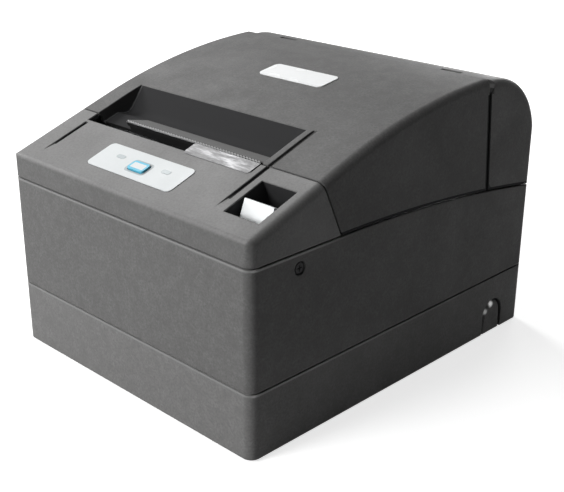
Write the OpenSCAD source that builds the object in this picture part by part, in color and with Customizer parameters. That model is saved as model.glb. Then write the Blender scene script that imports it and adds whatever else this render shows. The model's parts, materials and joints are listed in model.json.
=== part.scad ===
// Desktop receipt printer for 112 mm paper: hinged lid with the platen, drop-in roll, guillotine
// cutter, release lever at the right of the front.
// Frame: X to the right, Y to the back, Z up, origin under the middle of the case at foot level.
// Side outlines are drawn in (d, z): d is the distance behind the front face, z the height.
// The print mechanism is drawn in (u, w) round the platen axis: u runs back along the sloped top,
// w stands square to it.

/* [Case] */
// Width of the case
body_w = 177; // [172:1:195]
// Depth of the case
body_d = 213; // [208:1:230]
// Height of the case, feet included
body_h = 147; // [142:1:160]
// Thickness of the moulded walls
wall = 2.5; // [2:0.1:3]
// Radius of the upright corners
corner_r = 5; // [4:0.5:8]
// Radius along the top side edges
edge_r = 4; // [3.5:0.5:5]
// Radius of the front top edge
front_r = 3.5; // [3:0.5:5]
// Radius of the roll-over at the back
rear_r = 38; // [32:1:42]
// Drop of the rear cover below the lid
rear_step = 2; // [1.8:0.1:2.6]
// Angle of the sloped front of the top
slope_a = 19.5; // [17:0.5:21]
// Depth of the flat part of the slope
slope_len = 60; // [56:1:66]

/* [Seams] */
// Height of the seam above the base
base_h = 34.4; // [30:0.2:38]
// Height of the parting line at the front
parting_h = 93.8; // [90:0.2:96]
// Depth over which the parting line stays level
parting_flat = 57; // [52:1:62]
// Radius in which the parting line falls to the back
parting_r = 960; // [800:20:1400]
// Open gap of the seams
seam = 1; // [0.6:0.1:1.4]
// Depth of the lid's front edge at the top
lid_front_d = 44.2; // [43:0.1:46]
// Depth of the lid's rear edge at the top
lid_rear_d = 166; // [162:0.5:167]
// Lean of the rear seam, from top to bottom
rear_lean = 4; // [0:0.5:5]

/* [Paper exit] */
// Centre of the paper path, from the middle of the case
exit_x = -11.25; // [-13:0.25:-9]
// Width of the recess in the lid
exit_w = 123.5; // [122:0.5:125]
// Depth of the slot's near edge
slot_d = 37.5; // [36:0.5:39]
// Depth of the tear edge
tear_d = 45.7; // [45:0.1:47]
// Depth of the recess's rear edge
recess_d = 74.5; // [72:0.5:78]
// How far the recess sinks below the slope
recess_sink = 10; // [9:0.5:11]
// Length of the lowered left end of the tear edge
notch_w = 23; // [16:1:30]
// Width of the grooves beside the paper path
groove_w = 2.5; // [1.5:0.1:3]
// Depth of the grooves
groove_h = 1.2; // [0.6:0.1:1.6]

/* [Front panel] */
// Length of the white panel plate
panel_w = 63; // [58:1:66]
// Breadth of the panel plate along the slope
panel_b = 18.8; // [16:0.2:20]
// Depth of the panel plate's centre
panel_d = 19.3; // [18:0.1:21]
// Centre of the panel plate from the middle of the case
panel_x = -7; // [-10:0.5:-5]
// Length of the feed button
button_w = 11.6; // [9:0.2:13]
// Breadth of the feed button
button_b = 6.4; // [5:0.2:8]
// Travel of the feed button
button_travel = 0.8; // [0.4:0.1:1.2]

/* [Release lever] */
// Left side of the lever pocket
pocket_x = 60.3; // [59:0.1:62]
// Width of the lever pocket
pocket_w = 21.7; // [20:0.1:23]
// Depth of the pocket's near edge
pocket_d0 = 11.5; // [10:0.5:13]
// Depth of the pocket's far edge
pocket_d1 = 35; // [33:0.5:37]
// Depth of the lever's top edge
lever_d = 22.5; // [21:0.5:24]
// Radius of the latch shaft
latch_r = 2.5; // [2:0.1:3]

/* [Print mechanism] */
// Depth of the platen axis
platen_d = 56; // [55:0.5:58]
// How far the platen axis lies below the slope
platen_drop = 21; // [20:0.5:22]
// Radius of the platen rubber
platen_r = 7.5; // [6.5:0.1:8]
// Length of the platen rubber
platen_len = 114; // [112:0.5:115]
// Radius of the platen shaft
shaft_r = 3; // [2.5:0.1:3.5]
// Gear module
gear_m = 0.8; // [0.7:0.05:0.85]
// Teeth of the platen gear
platen_teeth = 15; // [14:1:15]
// Teeth of the idler gear
idler_teeth = 36; // [35:1:38]
// Teeth of the feed motor's pinion and of the cutter pinions
pinion_teeth = 12; // [12:1:14]
// Width of the gears
gear_w = 4.5; // [3:0.5:5]
// Play between meshed teeth, at the pitch circle
backlash = 0.12; // [0.08:0.02:0.2]
// Radius of the feed motor
motor_r = 13.5; // [12:0.5:13.5]
// Length of the feed motor
motor_len = 26; // [20:1:30]
// Thickness of the print head with its heat sink
head_t = 4.8; // [4:0.1:5.5]
// Height of the print head
head_h = 22; // [20:0.5:24]

/* [Cutter] */
// Height of the cutting plane above the platen axis
cut_w = 12.25; // [12:0.05:12.6]
// Thickness of the blades
blade_t = 1; // [0.8:0.1:1.2]
// Stroke of the moving blade
stroke = 9.5; // [8:0.5:10]
// Rise of the moving blade's vee edge
blade_vee = 4; // [2:0.5:5]
// Teeth of the gear on the cutter motor's reduction
cutter_teeth = 30; // [26:1:32]

/* [Roll bucket] */
// Radius of the largest paper roll
roll_r = 50; // [45:1:51]
// Depth of the roll's centre
roll_d = 119; // [117:0.5:122]
// Height of the roll's centre
roll_z = 87; // [86:0.5:90]
// Height of the deck round the bucket
deck_z = 79; // [76:0.5:80]
// Thickness of the bucket's walls
bucket_t = 2; // [1.5:0.1:2.5]

/* [Hinge] */
// Depth of the hinge axis
hinge_d = 170.5; // [170:0.25:172]
// Depth of the hinge axis below the top of the case
hinge_drop = 6.5; // [6:0.25:7]
// Radius of the hinge knuckles
knuckle_r = 4; // [3.5:0.1:4.4]
// Radius of the hinge pins
pin_r = 1.5; // [1.2:0.1:2]
// Distance of the hinges from the middle
hinge_x = 59; // [52:1:62]

/* [Base] */
// Height of the feet below the case
foot_h = 1; // [0.6:0.1:2]
// Radius of the feet
foot_r = 6; // [5:0.5:8]
// Inset of the feet from the case sides
foot_in = 14; // [12:0.5:18]
// Width of the cable arch
arch_w = 18; // [14:0.5:20]
// Height of the cable arch's crown
arch_h = 20.4; // [18:0.2:22]
// Depth of the cable arch's centre
arch_d = 185.5; // [183:0.5:187]
// Depth of the connector panel
panel_back_d = 172; // [168:0.5:175]
// Height of the main board above the floor
board_lift = 5.5; // [4:0.5:8]
// Thickness of the circuit boards
board_t = 1.6; // [1.2:0.1:2]

/* [Hidden] */
$fn = 48;

fine = 720;             // segments of the long arcs
tiny = 0.01;
seat = 0.3;             // clearance of pieces that sit side by side
play = 0.05;            // radial clearance of running fits
case_grey = [0.27, 0.28, 0.28];
white = [0.93, 0.94, 0.94];
steel = [0.72, 0.73, 0.75];
dark = [0.12, 0.12, 0.13];
board_green = [0.05, 0.35, 0.2];

// Top outline: a straight slope, then an arc that ends level above the rear roll-over.
front_y = -body_d / 2;
crown_d = body_d - rear_r;
crown_r = (crown_d - slope_len) / sin(slope_a);
front_h = body_h - slope_len * tan(slope_a) - (crown_d - slope_len) * tan(slope_a / 2);
function y_of(d) = front_y + d;
function slope_z(d) = front_h + d * tan(slope_a);
function arc_sin(d) = sin(slope_a) - (d - slope_len) / crown_r;
function top_z(d) = d <= slope_len ? slope_z(d)
    : slope_z(slope_len) + crown_r * (sqrt(1 - pow(arc_sin(d), 2)) - cos(slope_a));
function parting_z(d) = d <= parting_flat ? parting_h
    : parting_h - parting_r + sqrt(pow(parting_r, 2) - pow(d - parting_flat, 2));

// Print mechanism: platen axis and the conversion of a depth on the slope into u.
lean = slope_a;
platen_z = slope_z(platen_d) - platen_drop / cos(lean);
function u_of(d) = (d - platen_d + platen_drop * sin(lean)) / cos(lean);
slot_u = u_of(slot_d);
tear_u = u_of(tear_d);
recess_u = u_of(recess_d);

// Places across the paper path, from its centre.
plate_t = 1.2;
plate_x = platen_len / 2 + 1.2;             // inner face of the frame's side plates
bracket_x = plate_x + plate_t + 0.6;        // inner face of the platen brackets
bracket_t = 2;
gear_x = bracket_x + bracket_t + 0.6;       // inner face of the gear train
hook_t = 1.5;
hook_left_x = gear_x + gear_w + 0.5;
hook_right_x = bracket_x + bracket_t + 0.6;
recess_x0 = exit_x - exit_w / 2;
recess_x1 = exit_x + exit_w / 2;

// Gear train between the platen and the feed motor, in (d, z).
pressure = 25;
function pitch_r(teeth) = gear_m * teeth / 2;
motor_drop = 0.9683 * (pitch_r(platen_teeth) + 2 * pitch_r(idler_teeth) + pitch_r(pinion_teeth));
platen_at = [platen_d, platen_z];
motor_at = platen_at - [2, motor_drop];
base_plate_z = motor_at.y - motor_r - 6.5 - plate_t;
// The third corner of a triangle with its two known corners and the two sides that meet in it.
function corner(a, b, ra, rb) =
    let (v = b - a, l = norm(v), s = (ra * ra - rb * rb + l * l) / (2 * l))
    a + v / l * s + [-v.y, v.x] / l * sqrt(ra * ra - s * s);
idler_at = corner(platen_at, motor_at, pitch_r(platen_teeth) + pitch_r(idler_teeth),
    pitch_r(idler_teeth) + pitch_r(pinion_teeth));
function angle_to(a, b) = atan2(b.y - a.y, b.x - a.x);
// Turn of gear B that meshes with gear A, which lies at the angle toward from it.
function mesh_turn(toward, turn_a, teeth_a, teeth_b) =
    toward + 180 + ((toward - turn_a) * teeth_a + 180) / teeth_b;
platen_turn = angle_to(platen_at, idler_at);
idler_turn = mesh_turn(angle_to(platen_at, idler_at), platen_turn, platen_teeth, idler_teeth);
pinion_turn = mesh_turn(angle_to(idler_at, motor_at), idler_turn, idler_teeth, pinion_teeth);

// Print head, latch and cutter, in (u, w).
head_u = -platen_r - seat;                  // face of the head towards the platen
head_w0 = 4 - head_h;
head_pin_at = [head_u - 2.8, head_w0 + 2.5];
latch_at = [-21.2, -15];
lever_u = u_of(lever_d);
lever_swing = 12;
blade_tip_u = head_u - 1.7;
blade_back_u = -49;
fixed_w = cut_w + 0.1;
moving_w = cut_w - blade_t - 0.1;
frame_w = fixed_w + 0.3;
panel_board_t = 1.2;
tray_w = 4.8;
rack_x = 14;
cutter_at = [rack_x + pitch_r(pinion_teeth), -29];
cutter_gear_w0 = tray_w + plate_t + 0.5;
cutter_motor_at = cutter_at + [pitch_r(cutter_teeth) + pitch_r(pinion_teeth), 0];
cutter_motor_r = 7.5;
cutter_motor_len = 16;

// Roll bucket, base and boards.
trough_r = roll_r + 2;
bucket_x = plate_x;
floor_z = foot_h + wall;
board_z = floor_z + board_lift;
board_d0 = 84;
board_d1 = panel_back_d - 0.5;
hinge_z = body_h - hinge_drop;
pocket_wall = 1.5;
pocket_deep = 15;
panel_t = 1.2;
panel_sink = 0.9;

// ---------- helpers ----------

// Extrudes an outline given in (d, z) from x0 to x1.
module across(x0, x1) {
    translate([x0, front_y, 0])
        rotate([90, 0, 90])
            linear_extrude(x1 - x0)
                children();
}

// Places children drawn with Y = u and Z = w round the platen axis.
module mech() {
    translate([exit_x, y_of(platen_d), platen_z])
        rotate([lean, 0, 0])
            children();
}

// Extrudes an outline given in (u, w) from x0 to x1, measured from the paper centre.
module mech_across(x0, x1) {
    mech()
        translate([x0, 0, 0])
            rotate([90, 0, 90])
                linear_extrude(x1 - x0)
                    children();
}

// Extrudes an outline given in (x, u) from w0 to w1.
module mech_flat(w0, w1) {
    mech()
        translate([0, 0, w0])
            linear_extrude(w1 - w0)
                children();
}

module rounded(w, d, r) {
    square([w - 2 * r, d], center = true);
    square([w, d - 2 * r], center = true);
    for (sx = [-1, 1], sy = [-1, 1])
        translate([sx * (w / 2 - r), sy * (d / 2 - r)])
            circle(r);
}

module bar(low, high) {
    translate(low)
        cube(high - low);
}

// A cylinder along X through (d, z).
module rod(at, x0, x1, r) {
    translate([x0, y_of(at.x), at.y])
        rotate([0, 90, 0])
            cylinder(r = r, h = x1 - x0);
}

// A cylinder along X through (u, w).
module mech_rod(at, x0, x1, r) {
    mech()
        translate([x0, at.x, at.y])
            rotate([0, 90, 0])
                cylinder(r = r, h = x1 - x0);
}

// Point of an involute at radius r on a base circle of radius rb, turned from its start.
function involute_angle(r, rb) =
    let (t = sqrt(max(0, pow(r / rb, 2) - 1))) t * 180 / PI - atan(t);
function polar(r, a) = [r * cos(a), r * sin(a)];
// Outline of a spur gear: each tooth has two involute flanks of four points.
function gear_outline(teeth, turn) =
    let (rp = pitch_r(teeth), rb = rp * cos(pressure), ra = rp + 0.9 * gear_m,
        rf = rp - 1.15 * gear_m, r0 = max(rb, rf + 0.05),
        half = 90 / teeth - backlash / rp * 90 / PI + involute_angle(rp, rb),
        radii = [rf, r0, (r0 + rp) / 2, rp, ra],
        flank = [for (r = radii) [r, half - involute_angle(max(r, rb), rb)]])
    [for (n = [0 : teeth - 1], side = [-1, 1], k = [0 : 4])
        let (f = side < 0 ? flank[k] : flank[4 - k])
        polar(f[0], turn + n * 360 / teeth + side * f[1])];

module gear_2d(teeth, turn, bore) {
    difference() {
        polygon(gear_outline(teeth, turn));
        circle(bore);
    }
}

// A gear with its axis along X through (d, z).
module side_gear(at, teeth, turn, x0, x1, bore) {
    translate([x0, y_of(at.x), at.y])
        rotate([90, 0, 90])
            linear_extrude(x1 - x0)
                gear_2d(teeth, turn, bore);
}

// A round-wire helix along Z, as one swept tube.
module coil(r, wire, turns, len) {
    steps = 14;
    sides = 6;
    rings = round(turns * steps);
    points = [for (i = [0 : rings], k = [0 : sides - 1])
        let (a = i * 360 / steps, b = k * 360 / sides, rr = r + wire * cos(b))
        [rr * cos(a), rr * sin(a), wire + (len - 2 * wire) * i / rings + wire * sin(b)]];
    walls = [for (i = [0 : rings - 1], k = [0 : sides - 1])
        let (p = i * sides + k, q = i * sides + (k + 1) % sides)
        [p, p + sides, q + sides, q]];
    ends = [[for (k = [0 : sides - 1]) k],
        [for (k = [sides - 1 : -1 : 0]) rings * sides + k]];
    polyhedron(points, concat(walls, ends), convexity = 8);
}

// A pan-head screw with its head on z = 0 and its shank below.
module screw(r, len) {
    difference() {
        union() {
            translate([0, 0, -len])
                cylinder(r = r, h = len + tiny);
            cylinder(r = 2 * r, h = 1.2 * r);
        }
        for (a = [0, 90])
            rotate(a)
                translate([-1.2 * r, -0.2 * r, 0.6 * r])
                    cube([2.4 * r, 0.4 * r, r]);
    }
}

// ---------- outer form ----------

// Prism over the plan of the case, inset by t.
module footprint(t, z0, z1) {
    translate([0, 0, z0])
        linear_extrude(z1 - z0)
            rounded(body_w - 2 * t, body_d - 2 * t, corner_r - t + tiny);
}

form_deep = 76;
// Section across the case under its top surface, with both top corners rounded in steps.
module top_section(t, deep) {
    w = body_w - 2 * t;
    r = edge_r - t;
    polygon(concat([[-w / 2, -deep], [w / 2, -deep]],
        [for (a = [0 : 15 : 90]) [w / 2 - r, -t - r] + polar(r, a)],
        [for (a = [90 : 15 : 180]) [r - w / 2, -t - r] + polar(r, a)]));
}

module slope_part(t) {
    translate([0, y_of(slope_len), slope_z(slope_len)])
        rotate([slope_a + 90, 0, 0])
            linear_extrude(slope_len / cos(slope_a) + 20)
                top_section(t, form_deep);
}

module crown_part(t) {
    translate([0, y_of(crown_d), body_h - crown_r])
        rotate([90, 0, 90])
            rotate([0, 0, 90])
                rotate_extrude(angle = slope_a, $fn = fine)
                    translate([crown_r, 0])
                        rotate(-90)
                            top_section(t, form_deep);
}

module rear_part(t) {
    translate([0, y_of(crown_d), body_h - rear_step - rear_r])
        rotate([90, 0, 90])
            rotate_extrude(angle = 90, $fn = 96)
                translate([rear_r, 0])
                    rotate(-90)
                        top_section(t, rear_r - tiny);
    translate([0, y_of(crown_d), body_h - rear_step])
        rotate([90, 0, 0])
            linear_extrude(14)
                top_section(t, rear_r);
    translate([-body_w / 2 + t, y_of(crown_d) - 14, parting_z(body_d) - 10])
        cube([body_w - 2 * t, rear_r + 14 - t,
            body_h - rear_step - rear_r - parting_z(body_d) + 10 + tiny]);
}

// Side outline that rounds the edge between the front face and the slope.
module front_guard(t) {
    r = front_r - t + tiny;
    c = [front_r, slope_z(front_r) - front_r / cos(slope_a)];
    translate(c)
        circle(r);
    translate([t, 0])
        square([r, c.y]);
    polygon([[c.x, 0], [body_d, 0], [body_d, 2 * body_h],
        c + 80 * [-sin(slope_a), cos(slope_a)], c]);
}

module front_form(t) {
    intersection() {
        footprint(t, parting_h - 20, body_h);
        slope_part(t);
        across(-body_w, body_w)
            front_guard(t);
    }
}

module lid_form(t) {
    intersection() {
        footprint(t, parting_z(body_d) - 10, body_h + 1);
        union() {
            slope_part(t);
            crown_part(t);
        }
    }
}

module rear_form(t) {
    intersection() {
        footprint(t, parting_z(body_d) - 20, body_h);
        rear_part(t);
    }
}

// Region of the side view under the parting line raised by up.
module under_parting(up) {
    translate([-20, -20])
        square([parting_flat + 20, parting_h + up + 20]);
    intersection() {
        translate([parting_flat, parting_h - parting_r])
            circle(parting_r + up, $fn = 2 * fine);
        translate([parting_flat - tiny, 0])
            square([body_d, body_h]);
    }
}

// Line of the lid's front edge on the side, moved back by g.
function front_seam(g) = [[parting_flat + g, parting_h], [lid_front_d + g, top_z(lid_front_d)]];
// Line of the lid's rear edge, moved back by g.
function rear_seam(g) = [[lid_rear_d + rear_lean + g, parting_z(lid_rear_d)],
    [lid_rear_d + g, body_h - 8]];

module front_region() {
    s = front_seam(-seam / 2);
    difference() {
        polygon([[-1, 60], [s[0].x, 60], s[0], s[1], [s[1].x, body_h], [-1, body_h]]);
        under_parting(seam / 2);
    }
}

module lid_region() {
    f = front_seam(seam / 2);
    r = rear_seam(0);
    difference() {
        polygon([[f[0].x, 60], f[0], f[1], [f[1].x, body_h + 2], [r[1].x, body_h + 2],
            r[1], r[0], [r[0].x, 60]]);
        under_parting(seam / 2);
    }
}

module rear_region() {
    r = rear_seam(seam + 0.4);
    difference() {
        polygon([[r[0].x, 60], r[0], r[1], [r[1].x + 4.2, body_h - 3.6], [r[1].x + 4.2, body_h],
            [body_d + 1, body_h], [body_d + 1, 60]]);
        under_parting(seam / 2);
    }
}

// Groove that runs along the slope beside the paper path and fades out at the front.
module groove(x, d0, d1) {
    u0 = u_of(d0);
    u1 = u_of(d1);
    mech_across(x - exit_x - groove_w / 2, x - exit_x + groove_w / 2)
        polygon([[u0, platen_drop + 1], [u0, platen_drop],
            [u0 + 14, platen_drop - groove_h], [u1, platen_drop - groove_h],
            [u1, platen_drop + 1]]);
}
right_groove_x = recess_x1 + 4.7;
left_groove_x = recess_x0 + 1.4;

// ---------- casing ----------

boss_in = 9;
column_h = base_plate_z;
column_x = [exit_x - 50, exit_x + 50];
column_d = [platen_d - 22, platen_d + 6];
board_x0 = -72;
board_x1 = 64;
board_hole_in = 4;
switch_d = 34;
switch_z = 19;
switch_len = 21;
switch_high = 13.5;

module base_screw_places() {
    for (sx = [-1, 1], d = [boss_in, body_d - boss_in])
        translate([sx * (body_w / 2 - boss_in), y_of(d), 0])
            children();
}

module board_screw_places() {
    for (x = [board_x0 + board_hole_in, board_x1 - board_hole_in],
        d = [board_d0 + board_hole_in, board_d1 - 14])
        translate([x, y_of(d), 0])
            children();
}

// Outline of the cable arch in (d, z), grown by g.
module arch_2d(g) {
    r = arch_w / 2 + g;
    translate([arch_d, arch_h - arch_w / 2])
        circle(r);
    translate([arch_d - r, 0])
        square([2 * r, arch_h - arch_w / 2]);
}

module lower_case() {
    lip = wall / 2;
    vent_count = 9;
    vent_pitch = 7;
    color(case_grey)
    difference() {
        union() {
            difference() {
                footprint(0, foot_h, base_h - seam / 2);
                footprint(wall, floor_z, base_h);
            }
            difference() {
                footprint(lip + 0.1, base_h - 3, base_h + 1.5);
                footprint(wall, base_h - 4, base_h + 2);
            }
            base_screw_places()
                translate([0, 0, floor_z - tiny])
                    cylinder(r = 4, h = base_h - floor_z - 2);
            for (x = column_x, d = column_d)
                translate([x, y_of(d), floor_z - tiny])
                    cylinder(r = 5, h = column_h - floor_z + tiny);
            board_screw_places()
                translate([0, 0, floor_z - tiny])
                    cylinder(r = 3.5, h = board_lift + tiny);
            // Ribs that hold the connector panel.
            for (s = [-1, 1])
                bar([s * (body_w / 2 - 7) - 4.6, y_of(panel_back_d) - 3, floor_z - tiny],
                    [s * (body_w / 2 - 7) + 4.6, y_of(panel_back_d) - 0.1, base_h - 6]);
        }
        base_screw_places()
            translate([0, 0, -1]) {
                cylinder(r = 1.6, h = base_h);
                cylinder(r = 3.4, h = 5);
            }
        for (x = column_x, d = column_d)
            translate([x, y_of(d), column_h - 10])
                cylinder(r = 1.3, h = 12);
        board_screw_places()
            translate([0, 0, floor_z + 0.5])
                cylinder(r = 1.1, h = board_lift);
        for (sx = [-1, 1], d = [foot_in + 8, body_d - foot_in - 8])
            translate([sx * (body_w / 2 - foot_in), y_of(d), 0])
                cylinder(r = foot_r + 0.2, h = foot_h + 0.8);
        // Cable arch on the right side and the wide cable exit at the back.
        across(body_w / 2 - wall - 1, body_w)
            arch_2d(0);
        bar([-62, y_of(body_d) - wall - 1, floor_z + 1.5], [62, y_of(body_d) + 1, base_h - 5]);
        // Cooling slots under the board.
        for (n = [0 : vent_count - 1])
            bar([-40, y_of(95) + n * vent_pitch, 0], [10, y_of(95) + n * vent_pitch + 2, floor_z + 1]);
        // Power switch on the left side.
        bar([-body_w / 2 - 1, y_of(switch_d - switch_len / 2), switch_z - switch_high / 2],
            [-body_w / 2 + wall + 1, y_of(switch_d + switch_len / 2), switch_z + switch_high / 2]);
    }
}

module mid_case() {
    ledge_d0 = 84;
    lip = wall / 2;
    color(case_grey)
    difference() {
        union() {
            difference() {
                intersection() {
                    footprint(0, base_h + seam / 2, body_h);
                    across(-body_w, body_w)
                        under_parting(-seam / 2);
                }
                footprint(wall, base_h, body_h + 1);
            }
            // Ledges that carry the deck of the roll bucket.
            for (s = [-1, 1])
                translate([s * (body_w / 2 - wall - 2), y_of((ledge_d0 + 163) / 2), deck_z - 3])
                    cube([4 + tiny, 163 - ledge_d0, 6], center = true);
            base_screw_places()
                translate([0, 0, base_h - 1.7])
                    cylinder(r = 4, h = 24);
            for (sx = [-1, 1], d = [boss_in, body_d - boss_in])
                translate([sx * (body_w / 2 - (boss_in + wall) / 2), y_of(d), base_h + 12])
                    cube([boss_in - wall + tiny, 2, 19], center = true);
        }
        difference() {
            footprint(lip, base_h - 2, base_h + 2);
            footprint(wall + 0.2, base_h - 3, base_h + 3);
        }
        base_screw_places()
            translate([0, 0, base_h - 2])
                cylinder(r = 1.3, h = 16);
        side_screw_places()
            screw_recess();
    }
}

side_screw_d = 30;
side_screw_z = 86.3;
side_screw_r = 3.4;
module side_screw_places() {
    for (s = [-1, 1])
        translate([s * body_w / 2, y_of(side_screw_d), side_screw_z])
            rotate([0, s * 90, 0])
                children();
}

module screw_recess() {
    translate([0, 0, -1.8])
        cylinder(r = side_screw_r, h = 3);
    translate([0, 0, -10])
        cylinder(r = 1.7, h = 12);
}

module front_cover() {
    color(case_grey)
    difference() {
        union() {
            difference() {
                intersection() {
                    front_form(0);
                    across(-body_w, body_w)
                        front_region();
                }
                front_form(wall);
            }
            // Lip of the slot, pocket walls and ribs under the panel plate.
            intersection() {
                front_form(wall / 2);
                union() {
                    mech_across(recess_x0 - exit_x, recess_x1 - exit_x)
                        polygon([[slot_u - 2, platen_drop - 5], [slot_u, platen_drop - 5],
                            [slot_u, platen_drop], [slot_u - 2, platen_drop]]);
                    pocket_block(pocket_wall);
                }
            }
            // Lip that drops behind the front wall of the mid case.
            intersection() {
                footprint(wall + 0.1, parting_h - 3, parting_h + 6);
                bar([-body_w / 2, y_of(0), 0], [body_w / 2, y_of(0) + wall + 1.3, body_h]);
            }
            intersection() {
                footprint(wall - 0.3, parting_h + 2, parting_h + 6);
                bar([-body_w / 2, y_of(0), 0], [body_w / 2, y_of(0) + wall + 1.3, body_h]);
            }
            screw_tabs();
        }
        bar([recess_x0, y_of(slot_d), parting_h - 10], [recess_x1, y_of(60), body_h]);
        pocket_block(0);
        panel_recess();
        groove(right_groove_x, 13, 60);
        groove(left_groove_x, 9, slot_d - 1.5);
        bar([-body_w / 2 - 1, y_of(0) - 1, 60], [body_w / 2 + 1, y_of(0) + wall, parting_h + seam / 2]);
    }
}

// Tabs inside the mid case into which the side screws go.
module screw_tabs() {
    for (s = [-1, 1])
        difference() {
            union() {
                bar([s * (body_w / 2 - wall - 1.4) - 1.2, y_of(side_screw_d) - 6, side_screw_z - 6],
                    [s * (body_w / 2 - wall - 1.4) + 1.2, y_of(side_screw_d) + 6, parting_h + 8]);
                bar([s * (body_w / 2 - wall - 0.6) - 1, y_of(side_screw_d) - 6, parting_h + 2],
                    [s * (body_w / 2 - wall - 0.6) + 1, y_of(side_screw_d) + 6, parting_h + 8]);
            }
            translate([s * (body_w / 2 - wall - 5), y_of(side_screw_d), side_screw_z])
                rotate([0, s * 90, 0])
                    cylinder(r = 1.3, h = 10);
        }
}

module pocket_block(g) {
    u0 = u_of(pocket_d0) - g;
    u1 = u_of(pocket_d1) + g;
    deep = pocket_deep + (g > 0 ? 0 : 10);
    mech()
        translate([pocket_x - exit_x - g, u0, platen_drop - deep])
            cube([pocket_w + 2 * g, u1 - u0, deep + (g > 0 ? 0 : 5)]);
}

module panel_at() {
    mech()
        translate([panel_x - exit_x, u_of(panel_d), platen_drop])
            children();
}
led_x = [-16.5, 17.5];
led_u = 2;
button_at = [0.8, -1];
module led_holes(g) {
    for (x = led_x)
        translate([x, led_u])
            rounded(6 + 2 * g, 2.6 + 2 * g, 1.25 + g);
}
module button_hole(g) {
    translate(button_at)
        rounded(button_w + 2 * g, button_b + 2 * g, 1.6 + g);
}

module panel_recess() {
    panel_at() {
        translate([0, 0, -panel_sink])
            linear_extrude(5)
                rounded(panel_w + 2 * play, panel_b + 2 * play, 3);
        translate([0, 0, -10])
            linear_extrude(12) {
                led_holes(0.6);
                button_hole(0.8);
            }
    }
}

// Outline of the lid's scooped recess in (u, w): the void above floor and wall, lip at lip_w.
scoop_r = 6;
scoop_at = [12.6, platen_drop - recess_sink];
function unit(v) = v / norm(v);
module scoop_void() {
    a = [tear_u, platen_drop];
    b = [recess_u, platen_drop];
    ea = unit(a - scoop_at);
    eb = unit(b - scoop_at);
    half = acos(ea * eb) / 2;
    polygon([a, scoop_at + ea * scoop_r / tan(half), scoop_at + eb * scoop_r / tan(half), b,
        b + [0, 10], a + [-10, 10], a + [-10, 0]]);
    translate(scoop_at + unit(ea + eb) * scoop_r / sin(half))
        circle(scoop_r);
}

// The scoop's walls, which end inside the thickness of the lid's skin.
lip_t = 2.4;
module scoop_block() {
    top = platen_drop - 1.2;
    difference() {
        polygon([[tear_u, fixed_w + blade_t], [tear_u, platen_drop],
            [tear_u + 4, platen_drop - 0.4], [recess_u + 4, top], [recess_u + 4, top - 3],
            scoop_at + [4, -lip_t], scoop_at - [3, lip_t],
            [tear_u + lip_t, platen_drop - 4], [tear_u + lip_t, fixed_w + blade_t]]);
        scoop_void();
    }
}

// What the scoop takes out of the lid's skin.
module scoop_cut() {
    scoop_void();
    translate([tear_u - 12, platen_drop - 11])
        square([12, 20]);
}

// The left end of the lip is lowered by notch_h over notch_w.
notch_h = 6;
module notch_floor() {
    low = platen_drop - notch_h;
    polygon([[tear_u, fixed_w + blade_t], [tear_u, low], [6, low], [8, fixed_w + blade_t]]);
}
module notch_cut() {
    translate([tear_u - 12, platen_drop - notch_h])
        square([24, 20]);
}

module lid_knuckle_places() {
    for (s = [-1, 1])
        translate([s * hinge_x, 0, 0])
            children();
}
lid_knuckle_w = 12;

module lid() {
    notch_x = -exit_w / 2 + notch_w;
    color(case_grey)
    difference() {
        union() {
            difference() {
                intersection() {
                    lid_form(0);
                    across(-body_w, body_w)
                        lid_region();
                }
                lid_form(wall);
                mech_across(-exit_w / 2, exit_w / 2)
                    scoop_cut();
            }
            mech_across(-exit_w / 2, exit_w / 2)
                scoop_block();
            mech_across(-exit_w / 2, notch_x)
                notch_floor();
            for (x = [-exit_w / 2 - 2, exit_w / 2])
                mech_across(x, x + 2)
                    polygon([[tear_u, cut_w + 2], [tear_u, platen_drop - 0.6],
                        [recess_u + 6, platen_drop - 1.6], [recess_u + 6, platen_drop - 4],
                        scoop_at + [4, 0], scoop_at - [4, 0]]);
            lid_ribs();
            lid_knuckle_places() {
                rod([hinge_d, hinge_z], -lid_knuckle_w / 2, lid_knuckle_w / 2, knuckle_r);
                across(-lid_knuckle_w / 2, lid_knuckle_w / 2)
                    polygon([[hinge_d, hinge_z - knuckle_r], [hinge_d, hinge_z + knuckle_r - 0.2],
                        [lid_rear_d - 3, body_h - wall + 0.5],
                        [lid_rear_d - 12, body_h - wall + 0.3], [lid_rear_d - 6, hinge_z - knuckle_r]]);
            }
        }
        lid_knuckle_places()
            rod([hinge_d, hinge_z], -lid_knuckle_w, lid_knuckle_w, pin_r + play);
        mech_across(-exit_w / 2, notch_x)
            notch_cut();
        groove(right_groove_x, 13, recess_d);
        badge_recess();
        across(-body_w, body_w)
            polygon([[lid_rear_d - 0.8, body_h + 1], [lid_rear_d + 1, body_h + 1],
                [lid_rear_d + 1, body_h - 2.2]]);
    }
}

// Ribs that stiffen the lid behind the recess.
module lid_ribs() {
    rib = 1.5;
    for (x = [-64, -22, 22, 64])
        intersection() {
            across(x - rib / 2, x + rib / 2)
                polygon([[86, 60], [86, body_h], [lid_rear_d - 8, body_h], [lid_rear_d - 8, 60]]);
            translate([x - rib, y_of(crown_d), body_h - crown_r])
                rotate([0, 90, 0])
                    difference() {
                        cylinder(r = crown_r - 1, h = 2 * rib, $fn = fine);
                        translate([0, 0, -1])
                            cylinder(r = crown_r - wall - 3, h = 2 * rib + 2, $fn = fine);
                    }
        }
}

badge_d = 118;
badge_x = 2.3;
badge_w = 45;
badge_b = 15.5;
badge_t = 1;
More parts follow.
